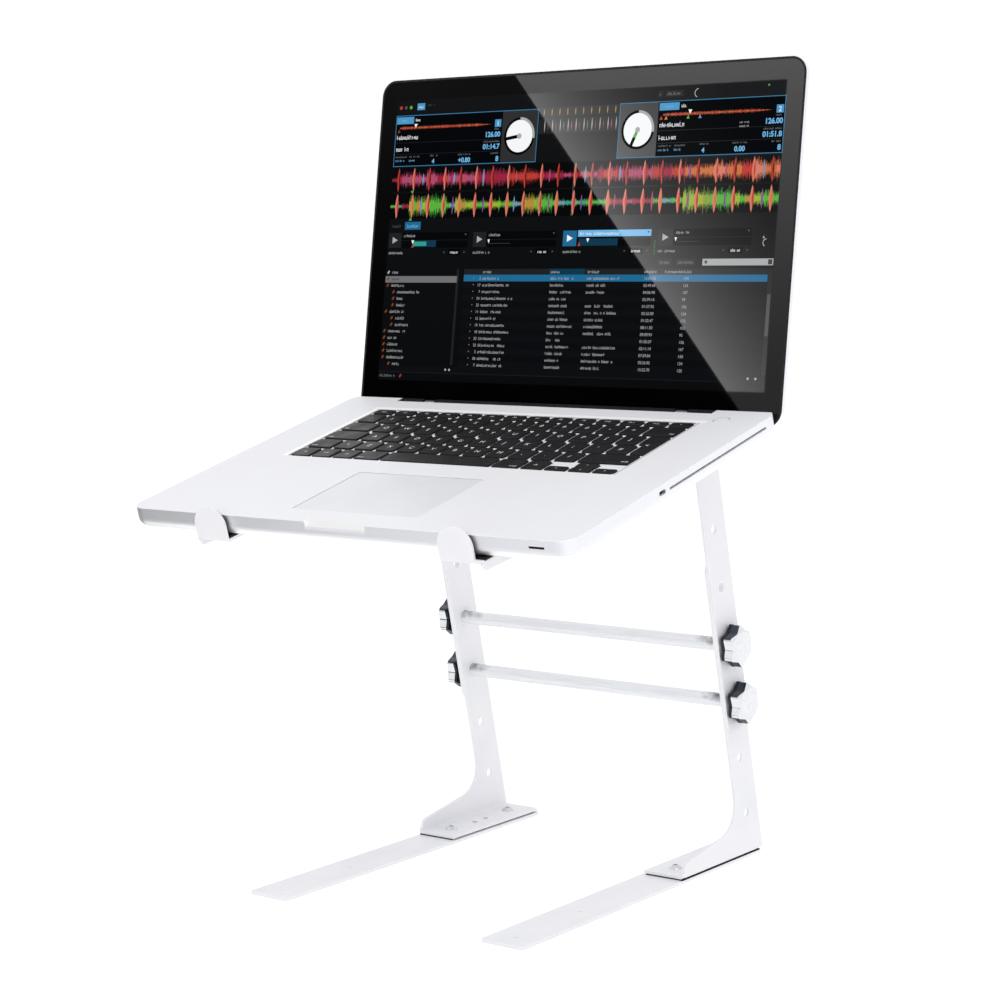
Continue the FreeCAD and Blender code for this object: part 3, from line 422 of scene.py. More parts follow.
# ---------------------------------------------------------------- flat shapes
PAINTS = {
    "desktop": "0a0b0d", "bar": "0b0c0e", "black": "030406", "night": "020304", "stripe": "0d0e11",
    "strip": "1f2022", "panel": "2b2a2a", "slate": "4c4d4f", "grey": "6f7072", "pale": "a9aaab",
    "white": "f4f6f8",
    "blue": "4a95c6", "deep": "1e6892", "navy": "0e374e", "sky": "6fb4e4", "outline": "3a7ea6",
    "red": "b93a30", "maroon": "641d1b", "crimson": "98203a", "rose": "5a1c2e", "pink": "a84a69",
    "orange": "c8703c", "rust": "7d4024", "amber": "b08a3a", "olive": "5f5a24", "salmon": "d47a66",
    "green": "58ad3a", "leaf": "2f6424", "lime": "95b234", "moss": "505f20", "teal": "2f9d8b",
    "violet": "7d4a98", "steel": "7590b6",
}
# how strongly each paint's patch of glass shows a reflection; the rest take PLAIN_GLOSS
PLAIN_GLOSS = 0.4
GLOSS = {"black": 0.06, "night": 0.32, "panel": 0.8}
TEXT_SIZE = 1.38                            # the built-in face's size for capitals of height 1


class Shapes:
    """Flat coloured shapes in the millimetres of one plane, stacked in thin layers in one mesh."""

    def __init__(self, layer_mm=0.02):
        self.layer = layer_mm
        self.points = []
        self.faces = []
        self.paints = []

    def polygon(self, corners, paint, layer):
        first = len(self.points)
        self.points += [(x * MM, y * MM, layer * self.layer * MM) for x, y in corners]
        self.faces.append(range(first, first + len(corners)))
        self.paints.append(paint)

    def box(self, x0, x1, y0, y1, paint, layer):
        self.polygon([(x0, y0), (x1, y0), (x1, y1), (x0, y1)], paint, layer)

    def frame(self, x0, x1, y0, y1, width, paint, layer):
        self.box(x0, x1, y1 - width, y1, paint, layer)
        self.box(x0, x1, y0, y0 + width, paint, layer)
        self.box(x0, x0 + width, y0 + width, y1 - width, paint, layer)
        self.box(x1 - width, x1, y0 + width, y1 - width, paint, layer)

    def disc(self, x, y, r, paint, layer, steps=40):
        turn = 2 * math.pi / steps
        rim = [(x + r * math.cos(i * turn), y + r * math.sin(i * turn)) for i in range(steps)]
        self.polygon(rim, paint, layer)

    def arc(self, x, y, inner, outer, start, end, paint, layer, steps=14):
        """Part of a ring, between two angles in degrees."""
        angles = [math.radians(start + (end - start) * i / steps) for i in range(steps + 1)]
        rim = [(x + outer * math.cos(a), y + outer * math.sin(a)) for a in angles]
        bore = [(x + inner * math.cos(a), y + inner * math.sin(a)) for a in reversed(angles)]
        self.polygon(rim + bore, paint, layer)

    def bar(self, start, end, width, paint, layer):
        start = Vector(start)
        end = Vector(end)
        half = (end - start).normalized() * width / 2
        across = Vector((-half.y, half.x))
        self.polygon([start + across, start - across, end - across, end + across], paint, layer)

    def triangle(self, x, y, width, height, paint, layer):
        """Stands on its base when height is positive, and on its tip when it is negative."""
        self.polygon([(x - width / 2, y), (x + width / 2, y), (x, y + height)], paint, layer)

    def play(self, x, y, size, paint, layer):
        half = size / 2
        self.polygon([(x - half, y - half), (x + half, y), (x - half, y + half)], paint, layer)

    def spindle(self, x, y, width, height, paint, layer, steps=5):
        """Widest in the middle, with a sharp tip above and below."""
        levels = [i / steps for i in range(-steps, steps + 1)]
        right = [(x + width / 2 * (1 - abs(t)) ** 0.7, y + height / 2 * t) for t in levels]
        left = [(2 * x - a, b) for a, b in reversed(right[1:-1])]
        self.polygon(right + left, paint, layer)

    def scribble(self, x, y, width, height, paint, layer, dice):
        """Strokes that read as a small word but spell nothing."""
        pitch = height * 0.64
        stroke = height * 0.12
        low = height * 0.72
        for i in range(max(1, round(width / pitch))):
            left = x + i * pitch
            if i > 2 and dice.random() < 0.14:
                continue
            tall = height if dice.random() < 0.25 else low
            self.box(left, left + stroke, y, y + tall, paint, layer)
            level = dice.choice((0.0, 0.28, 0.56)) * height
            self.box(left + stroke, left + pitch * 0.72, y + level, y + level + stroke, paint, layer)
            if dice.random() < 0.7:
                second = left + pitch * 0.55
                self.box(second, second + stroke, y, y + low, paint, layer)

    def text(self, words, x, y, height, paint, layer, align="LEFT", weight=0.0):
        """Figures or key letters set in the built-in face, thickened by weight."""
        curve = bpy.data.curves.new("lettering", "FONT")
        curve.body = words
        curve.size = height * TEXT_SIZE
        curve.offset = height * weight
        curve.align_x = align
        holder = bpy.data.objects.new("lettering", curve)
        bpy.context.scene.collection.objects.link(holder)
        bpy.context.view_layer.update()
        mesh = holder.evaluated_get(bpy.context.evaluated_depsgraph_get()).to_mesh()
        for face in mesh.polygons:
            corners = [mesh.vertices[i].co for i in face.vertices]
            self.polygon([(x + c.x, y + c.y) for c in corners], paint, layer)
        bpy.data.objects.remove(holder)
        bpy.data.curves.remove(curve)

    def build(self, name, place, body, materials):
        used = sorted(set(self.paints))
        mesh = bpy.data.meshes.new(name)
        mesh.from_pydata(self.points, [], [list(face) for face in self.faces])
        for paint in used:
            mesh.materials.append(materials[paint])
        for face, paint in zip(mesh.polygons, self.paints):
            face.material_index = used.index(paint)
        piece = bpy.data.objects.new(name, mesh)
        bpy.context.scene.collection.objects.link(piece)
        piece.matrix_world = place
        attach(piece, body)
        return piece


# ---------------------------------------------------------------- the picture on the screen
SCREEN = (-167.0, 167.6, 10.6, 219.5)
DECKS = ((-167.2, -35.4, 170.0, 208.2), (34.6, 168.0, 170.4, 209.0))
PANEL_W = 32.0                                              # the dial's panel in the first deck
SECOND_PANEL_W = 32.3                                       # and in the second
DIAL_R = 11.7
BANDS = ((151.0, 169.4, 160.0), (131.0, 150.0, 140.3))      # bottom, top and centre of each waveform
OVERVIEW_STEP = 0.42
MUSIC_STEP = 0.4
FIRST_BEAT = 6.3
BEAT_PITCH = 14.65
SLOT_LEFTS = (-166.0, -86.6, -6.2, 74.3)
ROW_PITCH = 4.86
PICTURE_LAYER_MM = 0.014
PICTURE_SEED = 11


def picture_materials():
    """Lit colours behind the glass: each shines by itself and still shows the glass's gloss."""
    materials = {}
    for name, colour in PAINTS.items():
        m = new_material("picture_" + name, "020203", 0.015, specular=GLOSS.get(name, PLAIN_GLOSS))
        set_glow(m, linear(colour), 1.0)
        materials[name] = m
    return materials


def draw_top_bar(art, dice):
    x0, x1, y0, y1 = SCREEN
    art.box(x0, x1, y0, y1, "desktop", 1)
    art.box(x0, x1, 209.4, y1, "bar", 2)
    for x, paint in ((-163.3, "red"), (-158.6, "slate"), (-153.9, "green")):
        art.disc(x, 214.0, 1.3, paint, 3, 16)
    art.box(-147.8, -140.6, 211.8, 216.8, "blue", 3)
    art.scribble(-146.6, 213.2, 5.0, 1.8, "white", 4, dice)
    art.scribble(-137.6, 214.6, 6.0, 1.4, "slate", 3, dice)
    art.box(65.6, 70.0, 211.8, 216.4, "strip", 3)
    art.scribble(67.0, 213.2, 1.4, 1.8, "grey", 4, dice)
    art.box(71.6, 86.6, 211.8, 216.4, "strip", 3)
    art.scribble(73.4, 212.9, 11.4, 2.4, "grey", 4, dice)
    art.arc(98.6, 213.6, 2.6, 3.2, 95, 250, "pale", 3)
    art.disc(154.0, 216.4, 0.7, "green", 3, 12)


def draw_overview(art, left, right, y, dice):
    """The whole track in miniature, with its cue points underneath."""
    x = left
    while x < right:
        swell = min(1.0, (x - left) / 4 + 0.5, (right - x) / 14)
        half = swell * dice.uniform(0.7, 1.3)
        core = half * 0.4
        art.box(x, x + OVERVIEW_STEP, y - half, y + half, dice.choice(("maroon", "red", "maroon", "rust")), 4)
        art.box(x, x + OVERVIEW_STEP, y - core, y + core, dice.choice(("red", "red", "orange", "olive")), 5)
        x += OVERVIEW_STEP


def draw_deck(art, box, number, tempo, clock, shift, dial_on_right, cue, cue_points, dice):
    x0, x1, y0, y1 = box
    art.box(x0, x1, y0, y1, "black", 2)
    if dial_on_right:
        left, right = x0, x1 - PANEL_W
        panel = (right, x1)
    else:
        left, right = x0 + SECOND_PANEL_W, x1
        panel = (x0, left)
    art.box(*panel, y0, y1, "panel", 3)
    art.frame(x0, x1, y0, y1, 0.5, "outline", 4)
    art.box(left + 0.8, left + 17.0, y1 - 6.4, y1 - 1.2, "blue", 4)
    art.scribble(left + 5.5, y1 - 4.7, 7.0, 2.0, "sky", 5, dice)
    art.scribble(left + 18.8, y1 - 4.8, 5.0, 2.3, "white", 5, dice)
    draw_overview(art, left + 4.0, right - 10.0, y1 - 9.4, dice)
    art.triangle(left + cue, y1 - 6.6, 3.0, -3.0, "white", 6)
    for x, paint in cue_points:
        art.triangle(left + x, y1 - 12.8, 2.6, 2.6, paint, 6)
    art.box(right - 6.8, right - 1.2, y1 - 11.6, y1 - 6.2, "blue", 4)
    art.text(str(number), right - 4.0, y1 - 10.8, 3.6, "white", 5, "CENTER")
    for y, width in ((y1 - 18.0, 20.0), (y1 - 26.8, 15.0)):
        art.scribble(left + 1.8, y, width, 3.2, "white", 4, dice)
    for y in (y1 - 20.6, y1 - 29.2):
        art.box(left + 1, right - 1, y, y + 0.3, "strip", 4)
    for words, x, y in ((tempo, right - 1.4, y1 - 18.6), (clock, right - 1.4, y1 - 27.4),
                        ("8", right - 1.6, y1 - 36.4)):
        art.text(words, x, y, 3.7, "sky", 5, "RIGHT", 0.05)
    middle = (left + right) / 2
    art.text(shift, middle + 17.0, y1 - 36.4, 3.5, "sky", 5, "CENTER", 0.05)
    art.text("4", middle - 12.0, y1 - 36.4, 3.3, "sky", 5, "CENTER", 0.05)
    for x, drop, width in ((right - 7, 13.6, 4.5), (right - 16, 22.6, 14), (right - 9, 31.2, 7),
                           (middle + 11, 31.2, 12), (middle - 15, 31.2, 7),
                           (left + 1.8, 31.6, 11), (left + 15.0, 31.6, 10)):
        art.scribble(x, y1 - drop, width, 1.4, "grey", 4, dice)
    for x, width in ((left + 1.8, 9), (left + 15.0, 5)):
        art.scribble(x, y1 - 34.6, width, 1.7, "sky", 4, dice)
    needle_angle, hub_paint = (188, "black") if dial_on_right else (246, "green")
    draw_dial(art, sum(panel) / 2, y1 - 19.0, needle_angle, hub_paint)


def draw_dial(art, x, y, needle_angle, hub_paint):
    """Round white platter with a lap ring and a needle."""
    art.disc(x, y, DIAL_R + 1.9, "black", 4)
    art.disc(x, y, DIAL_R, "white", 5)
    art.arc(x, y, DIAL_R + 0.1, DIAL_R + 1.9, -8, 90, "pale", 6)
    direction = Vector((math.cos(math.radians(needle_angle)), math.sin(math.radians(needle_angle))))
    tip = direction * (DIAL_R + 0.2)
    middle = direction * DIAL_R * 0.5
    art.bar((x + middle.x, y + middle.y), (x + tip.x, y + tip.y), 2.5, "black", 7)
    art.bar((x, y), (x + middle.x, y + middle.y), 2.5, hub_paint, 7)
    art.disc(x, y, 2.0, "pale", 8, 20)


def draw_beat_grid(art, dice):
    """Ticks between the two decks, where the beats of both tracks are matched."""
    art.box(-34.6, 34.0, 201.8, 208.6, "strip", 2)
    art.box(-34.6, 34.0, 190.0, 201.0, "strip", 2)
    for i in range(10):
        x = -30.6 + i * 6.85
        art.spindle(x, 205.3, 0.9, 5.8, "amber", 3)
        art.spindle(x + 1.2, 195.6, 0.9, 9.6, "pale", 3)
        art.spindle(x + 4.1, 195.3, 0.9, 7.0, dice.choice(("pink", "rust", "grey")), 3)


def draw_music(art, centre, parts, dice):
    """The body of one track: fine columns, dim at their tips and bright in the middle."""
    ends = [start for start, _, _ in parts[1:]] + [SCREEN[1]]
    for (start, reach, paints), end in zip(parts, ends):
        x = start
        swell = reach
        inner, outer = paints[0]
        while x < end:
            if dice.random() < 0.12:
                inner, outer = dice.choice(paints)
                swell = reach * dice.uniform(0.55, 1.1)
            half = swell * dice.uniform(0.55, 1.15)
            core = half * dice.uniform(0.35, 0.85)
            art.box(x, x + MUSIC_STEP, centre - half, centre + half, outer, 3)
            art.box(x, x + MUSIC_STEP, centre - core, centre + core, inner, 4)
            x += MUSIC_STEP


def draw_beats(art, band, slim, paints, dice):
    """Tall spindles on the beat, with small ones between some of them."""
    bottom, top, centre = band
    tall = 2 * min(top - centre, centre - bottom)
    count = int((SCREEN[1] - SCREEN[0] - FIRST_BEAT) / BEAT_PITCH) + 1
    for i in range(count):
        x = SCREEN[0] + FIRST_BEAT + i * BEAT_PITCH
        outer, inner = paints[i % len(paints)]
        art.spindle(x, centre, slim, tall, outer, 5)
        art.spindle(x + slim * 0.2, centre, slim * 0.5, tall * 0.72, inner, 6)
        if i % 2:
            off_beat = x + BEAT_PITCH * dice.uniform(0.4, 0.6)
            height = tall * dice.uniform(0.5, 0.8)
            art.spindle(off_beat, centre, 1.7, height, dice.choice(("violet", "steel", "pink")), 5)


def draw_waveforms(art, dice):
    """Both tracks, zoomed in and running past the playhead."""
    reds = (("crimson", "rose"), ("pink", "rose"), ("red", "maroon"))
    hot = (("orange", "rust"), ("salmon", "rust"), ("red", "maroon"))
    greens = (("lime", "moss"), ("green", "leaf"), ("amber", "olive"))
    thin = (("green", "leaf"), ("teal", "leaf"), ("steel", "leaf"))
    for bottom, top, _ in BANDS:
        art.box(SCREEN[0], SCREEN[1], bottom, top, "night", 2)
    # from x onwards, the wave reaches this far in these colours
    first = ((SCREEN[0], 1.6, reds), (-160, 6.2, reds), (-32, 3.2, reds), (20, 5.8, reds), (92, 7.6, hot))
    second = ((SCREEN[0], 1.4, thin), (-156, 2.2, reds), (-149, 7.4, greens), (-114, 2.6, thin),
              (-106, 5.4, greens), (-64, 2.6, thin), (-42, 6.6, greens), (-18, 2.6, thin),
              (28, 3.6, reds), (68, 2.4, thin), (92, 8.0, greens), (132, 5.4, greens))
    draw_music(art, BANDS[0][2], first, dice)
    draw_music(art, BANDS[1][2], second, dice)
    draw_beats(art, BANDS[0], 3.0, (("red", "maroon"), ("salmon", "red")), dice)
    draw_beats(art, BANDS[1], 3.6, (("salmon", "red"), ("salmon", "orange"), ("salmon", "red")), dice)
    art.box(-0.8, -0.45, 130.8, 168.4, "grey", 7)
    for y, height in ((151.6, -2.2), (129.6, 2.2)):
        art.triangle(-146.8, y, 3.0, height, "green", 7)


def draw_sampler(art, dice):
    """Tab row and the four sample slots."""
    art.scribble(-163.5, 124.4, 9.0, 2.2, "slate", 2, dice)
    art.box(-151.6, -136.6, 122.8, 128.6, "deep", 2)
    art.scribble(-149.4, 124.4, 10.5, 2.4, "sky", 3, dice)
    for index, left in enumerate(SLOT_LEFTS):
        active = index == 2
        art.box(left, left + 11.8, 109.4, 120.4, "deep" if active else "strip", 2)
        art.play(left + 6.0, 115.0, 5.0, "white" if active else "pale", 3)
        art.box(left + 12.8, left + 74.6, 109.2, 120.6, "night", 2)
        art.box(left + 12.8, left + 74.6, 114.6, 114.9, "strip", 3)
        if active:
            art.box(left + 12.8, left + 74.6, 116.0, 120.6, "sky", 3)
            art.box(left + 14.0, left + 47.0, 109.6, 114.6, "navy", 3)
            art.triangle(left + 14.2, 109.4, 2.4, 3.4, "red", 4)
            art.triangle(left + 21.5, 114.8, 2.6, -2.8, "white", 4)
        elif index == 0:
            art.box(left + 23.0, left + 45.0, 109.8, 114.6, "navy", 3)
            art.box(left + 23.6, left + 36.0, 110.6, 113.8, "teal", 4)
            art.triangle(left + 23.0, 114.8, 2.6, -2.8, "white", 5)
            art.triangle(left + 23.0, 109.4, 2.4, 2.4, "red", 5)
        else:
            art.box(left + 14.5, left + 34.0, 111.8, 112.0, "slate", 3)
            art.triangle(left + 14.4, 114.8, 2.0, -2.8, "white", 4)
        width, paint = (34.0, "white") if active else (11.0, "pale")
        art.scribble(left + 14.4, 117.2, width, 2.1, paint, 4, dice)
        art.triangle(left + 72.2, 119.4, 2.0, -1.6, "slate", 4)
        art.scribble(left + 0.6, 104.6, 15.5, 2.0, "pale", 2, dice)
        art.box(left + 57.0, left + 68.5, 103.6, 108.0, "night", 2)
        art.scribble(left + 59.0, 104.7, 7.5, 2.0, "white", 3, dice)
        for x in (left + 53.4, left + 72.2):
            art.play(x, 105.8, 1.6, "slate", 3)
    for step in range(7):
        art.box(71.2, 72.4, 103.2 + step * 1.5, 104.0 + step * 1.5, "leaf", 2)
    art.arc(160.6, 110.6, 2.2, 2.8, 90, 245, "pale", 2)
    art.triangle(158.4, 113.6, 1.8, 1.8, "pale", 2)


def draw_library(art, dice):
    """Search row, folder list and track table."""
    left, right = -167.0, 163.6
    for x, width in ((75.6, 11.5), (90.4, 15.5)):
        art.box(x, x + width, 95.4, 100.0, "strip", 2)
        art.scribble(x + 1.6, 96.5, width - 3.4, 2.4, "grey", 3, dice)
    art.box(111.6, 167.2, 95.4, 100.0, "pale", 2)
    art.disc(114.4, 97.8, 1.2, "panel", 3, 16)
    art.box(163.2, 166.4, 96.0, 99.4, "panel", 3)
    art.box(-99.6, -97.4, 23.0, 93.4, "strip", 3)
    art.box(left + 0.4, -98.6, 83.4, 88.2, "grey", 3)
    indents = (0, 0, 0, 1, 1, 1, 0, 1, 1, 0, 0, 0, 0, 0, 1)
    widths = (6, 7, 13, 21, 6, 9, 14, 9, 13, 17, 8, 10, 16, 17, 8)
    for row, (indent, width) in enumerate(zip(indents, widths)):
        y = 89.6 - row * ROW_PITCH
        x = left + 2.0 + 6.0 * indent
        art.bar((x + 0.2, y + 0.5), (x + 1.8, y + 2.5), 1.4, "pale" if row == 0 else "rust", 4)
        art.scribble(x + 4.6, y + 0.3, width, 2.2, "pale" if row != 1 else "panel", 4, dice)
    art.box(-92.6, right, 89.2, 93.4, "strip", 2)
    art.box(-16.0, 14.5, 89.2, 93.4, "navy", 3)
    art.box(-92.6, right, 84.4, 89.2, "deep", 3)
    columns = ((-75.2, 30.0, 14.0), (-14.6, 22.0, 11.0), (17.0, 30.0, 14.0))
    for x, width in ((-75.2, 8), (-14.6, 8), (17.4, 10), (65.0, 10), (82.0, 16), (97.4, 8)):
        art.scribble(x, 90.2, width, 2.0, "pale", 4, dice)
    for row in range(14):
        y = 85.6 - row * ROW_PITCH
        if row % 2:
            art.box(-92.6, right, y - 1.2, y + 3.66, "stripe", 3)
        art.disc(-83.4, y + 1.2, 0.5, "grey", 4, 8)
        art.text(str(dice.randint(2, 38)), -76.8, y, 2.1, "pale", 4, "RIGHT")
        for x, longest, shortest in columns:
            if x > 0 and row in (3, 9):
                continue
            art.scribble(x, y, dice.uniform(shortest, longest), 2.1, "pale", 4, dice)
        art.text("%02d:%02d.%02d" % (dice.randint(1, 13), dice.randint(0, 59), dice.randint(0, 99)),
                 65.0, y, 2.1, "pale", 4)
        art.text(str(dice.randint(70, 178)), 97.2, y, 2.1, "pale", 4)
    art.box(164.0, 167.4, 22.0, 93.4, "strip", 2)
    art.box(164.4, 167.0, 48.0, 76.0, "slate", 3)
    art.box(left, 167.4, 17.2, 21.6, "stripe", 3)
    art.box(left, 167.4, 16.6, 17.0, "strip", 4)
    art.scribble(-165.6, 13.0, 14.0, 2.3, "grey", 3, dice)
    art.bar((-146.6, 13.0), (-145.0, 15.2), 1.5, "rust", 3)
    for x in (-103.6, -100.0, 154.0, 160.0):
        art.disc(x, 19.4, 0.9, "pale", 4, 8)


def draw_screen():
    dice = random.Random(PICTURE_SEED)
    art = Shapes(PICTURE_LAYER_MM)
    draw_top_bar(art, dice)
    draw_deck(art, DECKS[0], 1, "126.00", "01:14.7", "+0.80", True, 19.2, ((3.4, "rust"),), dice)
    draw_deck(art, DECKS[1], 2, "126.00", "01:51.8", "0.00", False, 26.1,
              ((2.7, "red"), (6.7, "amber"), (24.7, "green"), (34.3, "steel")), dice)
    for y in (191.4, 188.8):
        art.scribble(133.0, y, 7.6, 1.5, "pale", 5, dice)
    draw_beat_grid(art, dice)
    draw_waveforms(art, dice)
    draw_sampler(art, dice)
    draw_library(art, dice)
    art.build("screen_picture", lid, "lid", picture_materials())


# ---------------------------------------------------------------- key legends
LEGENDS = {
    "function_keys": ["esc"] + ["F%d" % i for i in range(1, 13)] + ["^"],
    "number_keys": list("`1234567890-="),
    "upper_letter_keys": list("QWERTYUIOP[]"),
    "home_letter_keys": list("ASDFGHJKL;'#"),
    "lower_letter_keys": list("\\ZXCVBNM,./"),
    "modifier_keys": ["del", "tab", "caps", "shift", "shift", "fn", "ctrl", "alt", "cmd", "cmd", "alt"],
    "return_key": ["<"],
    "arrow_keys": ["^", "<", "v", ">"],
}
LETTER_MM = 4.0
WORD_MM = 2.3
LOW_CAP_MM = 10         # caps less deep than this carry small legends
WIDE_CAP_MM = 17        # words on caps wider than this sit in the outer front corner
CORNER_MM = (1.8, 2.2)  # this far from its edges
ROW_MM = 6              # caps are sorted into rows by their front edges, in steps of this


def cap_boxes(node):
    """Deck-frame (x0, x1, y0, y1) in millimetres of every cap in a node, back row first, left to right."""
    caps = bmesh.new()
    caps.from_mesh(nodes[node].data)
    bmesh.ops.transform(caps, matrix=deck.inverted(), verts=caps.verts)
    bmesh.ops.remove_doubles(caps, verts=caps.verts, dist=1e-5)
    boxes = []
    waiting = set(caps.verts)
    while waiting:
        stack = [waiting.pop()]
        cap = []
        while stack:
            vertex = stack.pop()
            cap.append(vertex.co / MM)
            for edge in vertex.link_edges:
                other = edge.other_vert(vertex)
                if other in waiting:
                    waiting.remove(other)
                    stack.append(other)
        xs = [c.x for c in cap]
        ys = [c.y for c in cap]
        boxes.append((min(xs), max(xs), min(ys), max(ys)))
    caps.free()
    return sorted(boxes, key=lambda b: (-round(b[2] / ROW_MM), b[0]))


def draw_legends():
    place = deck @ Matrix.Translation((0, 0, KEY_TOP_Z))
    material = {"legend": two_tone("key_legend", **LEGEND_PAINT)}
    for node, words in LEGENDS.items():
        art = Shapes()
        for (x0, x1, y0, y1), word in zip(cap_boxes(node), words):
            small = len(word) > 1 or y1 - y0 < LOW_CAP_MM or node == "function_keys"
            height = WORD_MM if small else LETTER_MM
            x = (x0 + x1) / 2
            y = (y0 + y1) / 2 - height / 2
            align = "CENTER"
            if node == "modifier_keys" and x1 - x0 > WIDE_CAP_MM:
                align = "LEFT" if x < 0 else "RIGHT"
                x = x0 + CORNER_MM[0] if x < 0 else x1 - CORNER_MM[0]
                y = y0 + CORNER_MM[1]
            art.text(word, x, y, height, "legend", 1, align)
        art.build("legends_" + node, place, node, material)


# ---------------------------------------------------------------- floor, light and camera
WHITE = (1, 1, 1, 1)
SKY_COLOUR = (0.985, 0.985, 1.0, 1)
SKY_STRENGTH = 1.02
SOFTBOX_SIZE = 1.6
SOFTBOX_WATTS = 5.0
SOFTBOX_PLACE = Vector((0.7, -0.5, 1.8))        # from the middle of the part
FLOOR_GLOW = 0.84
FLOOR_REACH = 8.0
FLOOR_DROP = 0.0002                             # keeps the floor clear of the feet

GLARE_LINE = ((-61.5, 236.0), (151.0, -3.9))    # the edge of the bright card's reflection, in lid millimetres
CARD_BOX = (-240, 240, -70, 310)                # left, right, foot and top of the cards, in lid millimetres
CARD_FOOT = 8 * MM                              # the cards fade up between these heights of the lid
CARD_TOP = 229 * MM
CARD_CURVE = 1.6
CARD_AWAY = 1.9                                 # the lid's plane scaled this much from the mirrored camera
CARD_GAP = 0.02                                 # and this much more or less for the cards behind and before
WHITE_CARD = (0.53, 2.0)                        # strength at the foot and at the top
DIM_CARD = (0.0, 0.1)
SHEEN = 3.9
SHEEN_HALF_REACH = 0.041
HALVINGS = 4                                    # the sheen is followed for this many half reaches
DARK_FLOOR = (-3.0, -0.45, -3.0, 0.3)
GREY_FLOOR = (-0.45, 0.3, -3.0, -0.35)
FLOOR_CARD_Z = 0.001


def place_camera():
    a, e, r = CAMERA_AZIMUTH, CAMERA_ELEVATION, CAMERA_ROLL
    back = Vector((math.sin(a) * math.cos(e), -math.cos(a) * math.cos(e), math.sin(e)))
    level = Vector((math.cos(a), math.sin(a), 0))
    upright = back.cross(level)
    right = level * math.cos(r) + upright * math.sin(r)
    up = upright * math.cos(r) - level * math.sin(r)
    data = bpy.data.cameras.new("camera")
    data.sensor_width = 36.0
    data.lens = LENS_MM
    data.shift_x = SHIFT_X
    data.shift_y = SHIFT_Y
    data.clip_end = 50.0
    camera = bpy.data.objects.new("camera", data)
    turn = Matrix((right, up, back)).transposed().to_4x4()
    camera.matrix_world = Matrix.Translation(CAMERA_PLACE) @ turn
    bpy.context.scene.collection.objects.link(camera)
    bpy.context.scene.camera = camera


def plane(name, corners, material):
    mesh = bpy.data.meshes.new(name)
    mesh.from_pydata([tuple(c) for c in corners], [], [range(len(corners))])
    mesh.materials.append(material)
    card = bpy.data.objects.new(name, mesh)
    bpy.context.scene.collection.objects.link(card)
    return card


def card_material(name, strength=0.0):
    m = new_material(name, "000000", 1.0, specular=0.0)
    set_glow(m, WHITE, strength)
    return m


def fade_up(m, low, high):
    """Card strength from low at the foot of the reflection to high at its top."""
    rise = add_node(m, "ShaderNodeMath")
    rise.operation = "POWER"
    rise.inputs[1].default_value = CARD_CURVE
    link(m, stretched(m, along(m, (0, 1, 0)), CARD_FOOT, CARD_TOP, 0.0, 1.0), rise.inputs[0])
    strength = stretched(m, rise.outputs["Value"], 0.0, 1.0, low, high)
    link(m, strength, shader_of(m).inputs["Emission Strength"])


def fade_from_edge(m, strongest, half_reach):
    """Card strength falling to half every half_reach metres away from the glare line."""
    (x0, y0), (x1, y1) = GLARE_LINE
    slope = (x1 - x0) / (y0 - y1)
    start = (x0 + slope * y0) * MM
    end = start + HALVINGS * half_reach
    halvings = stretched(m, along(m, (1, slope, 0)), start, end, 0.0, HALVINGS)
    power = add_node(m, "ShaderNodeMath")
    power.operation = "POWER"
    power.inputs[0].default_value = 0.5
    link(m, halvings, power.inputs[1])
    strength = stretched(m, power.outputs["Value"], 0.0, 1.0, 0.0, strongest)
    link(m, strength, shader_of(m).inputs["Emission Strength"])


def only_in_reflections(card):
    card.visible_camera = False
    card.visible_diffuse = False
    card.visible_shadow = False
    card.visible_transmission = False
    card.visible_volume_scatter = False


def glare_x(y):
    """Where the edge of the glare crosses a height of the lid, in millimetres."""
    (x0, y0), (x1, y1) = GLARE_LINE
    return x0 + (x1 - x0) * (y - y0) / (y1 - y0)


def lid_card(name, corners, away, material):
    """A card that the screen shows exactly over these corners, given in lid millimetres."""
    on_glass = lid @ Vector((0, 0, 0))
    normal = (lid.to_3x3() @ Vector((0, 0, 1))).normalized()
    eye = Vector(CAMERA_PLACE)
    mirrored_eye = eye - 2 * (eye - on_glass).dot(normal) * normal
    card = plane(name, [(x * MM, y * MM, 0) for x, y in corners], material)
    card.matrix_world = (Matrix.Translation(mirrored_eye) @ Matrix.Scale(away, 4) @
                         Matrix.Translation(-mirrored_eye) @ lid)
    only_in_reflections(card)


def rectangle(x0, x1, y0, y1):
    return [(x0, y0), (x1, y0), (x1, y1), (x0, y1)]


def right_of_glare(right, foot, top):
    return [(glare_x(foot), foot), (right, foot), (right, top), (glare_x(top), top)]


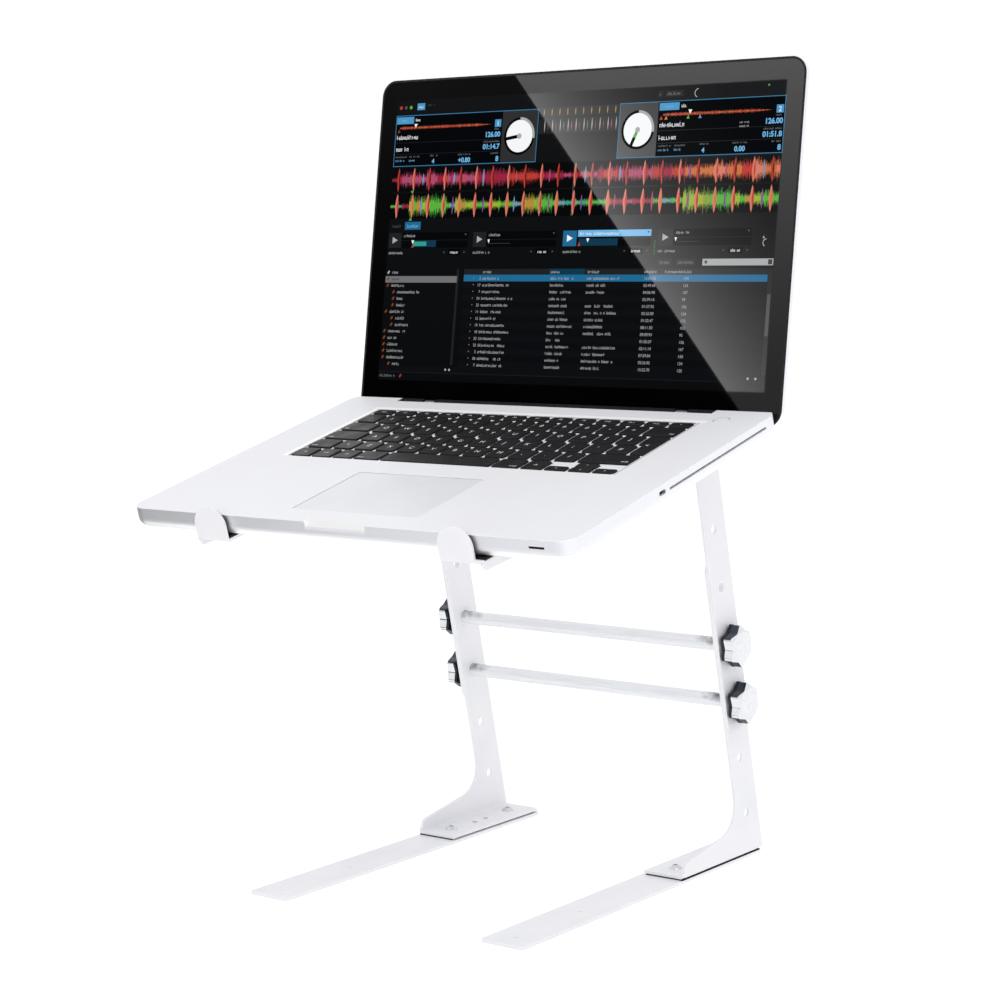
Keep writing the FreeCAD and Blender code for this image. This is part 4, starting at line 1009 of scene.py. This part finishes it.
def floor_card(name, box, strength):
    corners = [(x, y, FLOOR_CARD_Z) for x, y in rectangle(*box)]
    only_in_reflections(plane(name, corners, card_material(name, strength)))


def place_cards():
    """A white card whose straight edge the screen reflects, in front of a dark studio."""
    white = card_material("card_white")
    fade_up(white, *WHITE_CARD)
    dim = card_material("card_dim")
    fade_up(dim, *DIM_CARD)
    sheen = card_material("card_sheen")
    fade_from_edge(sheen, SHEEN, SHEEN_HALF_REACH)
    lid_card("sheen_card", right_of_glare(*SCREEN[1:]), CARD_AWAY - CARD_GAP, sheen)
    lid_card("bright_card", right_of_glare(*CARD_BOX[1:]), CARD_AWAY, white)
    lid_card("dark_studio", rectangle(*CARD_BOX), CARD_AWAY + CARD_GAP, dim)
    floor_card("dark_floor", DARK_FLOOR, 0.05)
    floor_card("grey_floor", GREY_FLOOR, 0.84)


def light_studio():
    scene = bpy.context.scene
    scene.view_settings.view_transform = "Standard"
    scene.world = bpy.data.worlds.new("studio")
    scene.world.use_nodes = True
    sky = scene.world.node_tree.nodes["Background"]
    sky.inputs["Color"].default_value = SKY_COLOUR
    sky.inputs["Strength"].default_value = SKY_STRENGTH
    lo, hi = cad_box
    centre = (lo + hi) / 2
    lamp = bpy.data.lights.new("softbox", "AREA")
    lamp.size = SOFTBOX_SIZE
    lamp.energy = SOFTBOX_WATTS
    softbox = bpy.data.objects.new("softbox", lamp)
    softbox.location = centre + SOFTBOX_PLACE
    softbox.rotation_euler = (centre - softbox.location).to_track_quat("-Z", "Y").to_euler()
    scene.collection.objects.link(softbox)


def lay_floor():
    m = new_material("floor", "8a8a8c", 0.9, specular=0.1)
    set_colour(m, mix_colours(m, speckles(m, 3, 3, 0.3, 0.7), "8c8c8e", "868688"))
    set_glow(m, WHITE, FLOOR_GLOW)
    z = cad_box[0].z - FLOOR_DROP
    sides = rectangle(-FLOOR_REACH, FLOOR_REACH, -FLOOR_REACH, FLOOR_REACH)
    plane("floor", [(x, y, z) for x, y in sides], m)


finish_cad_nodes()
draw_screen()
draw_legends()
place_camera()
place_cards()
light_studio()
lay_floor()
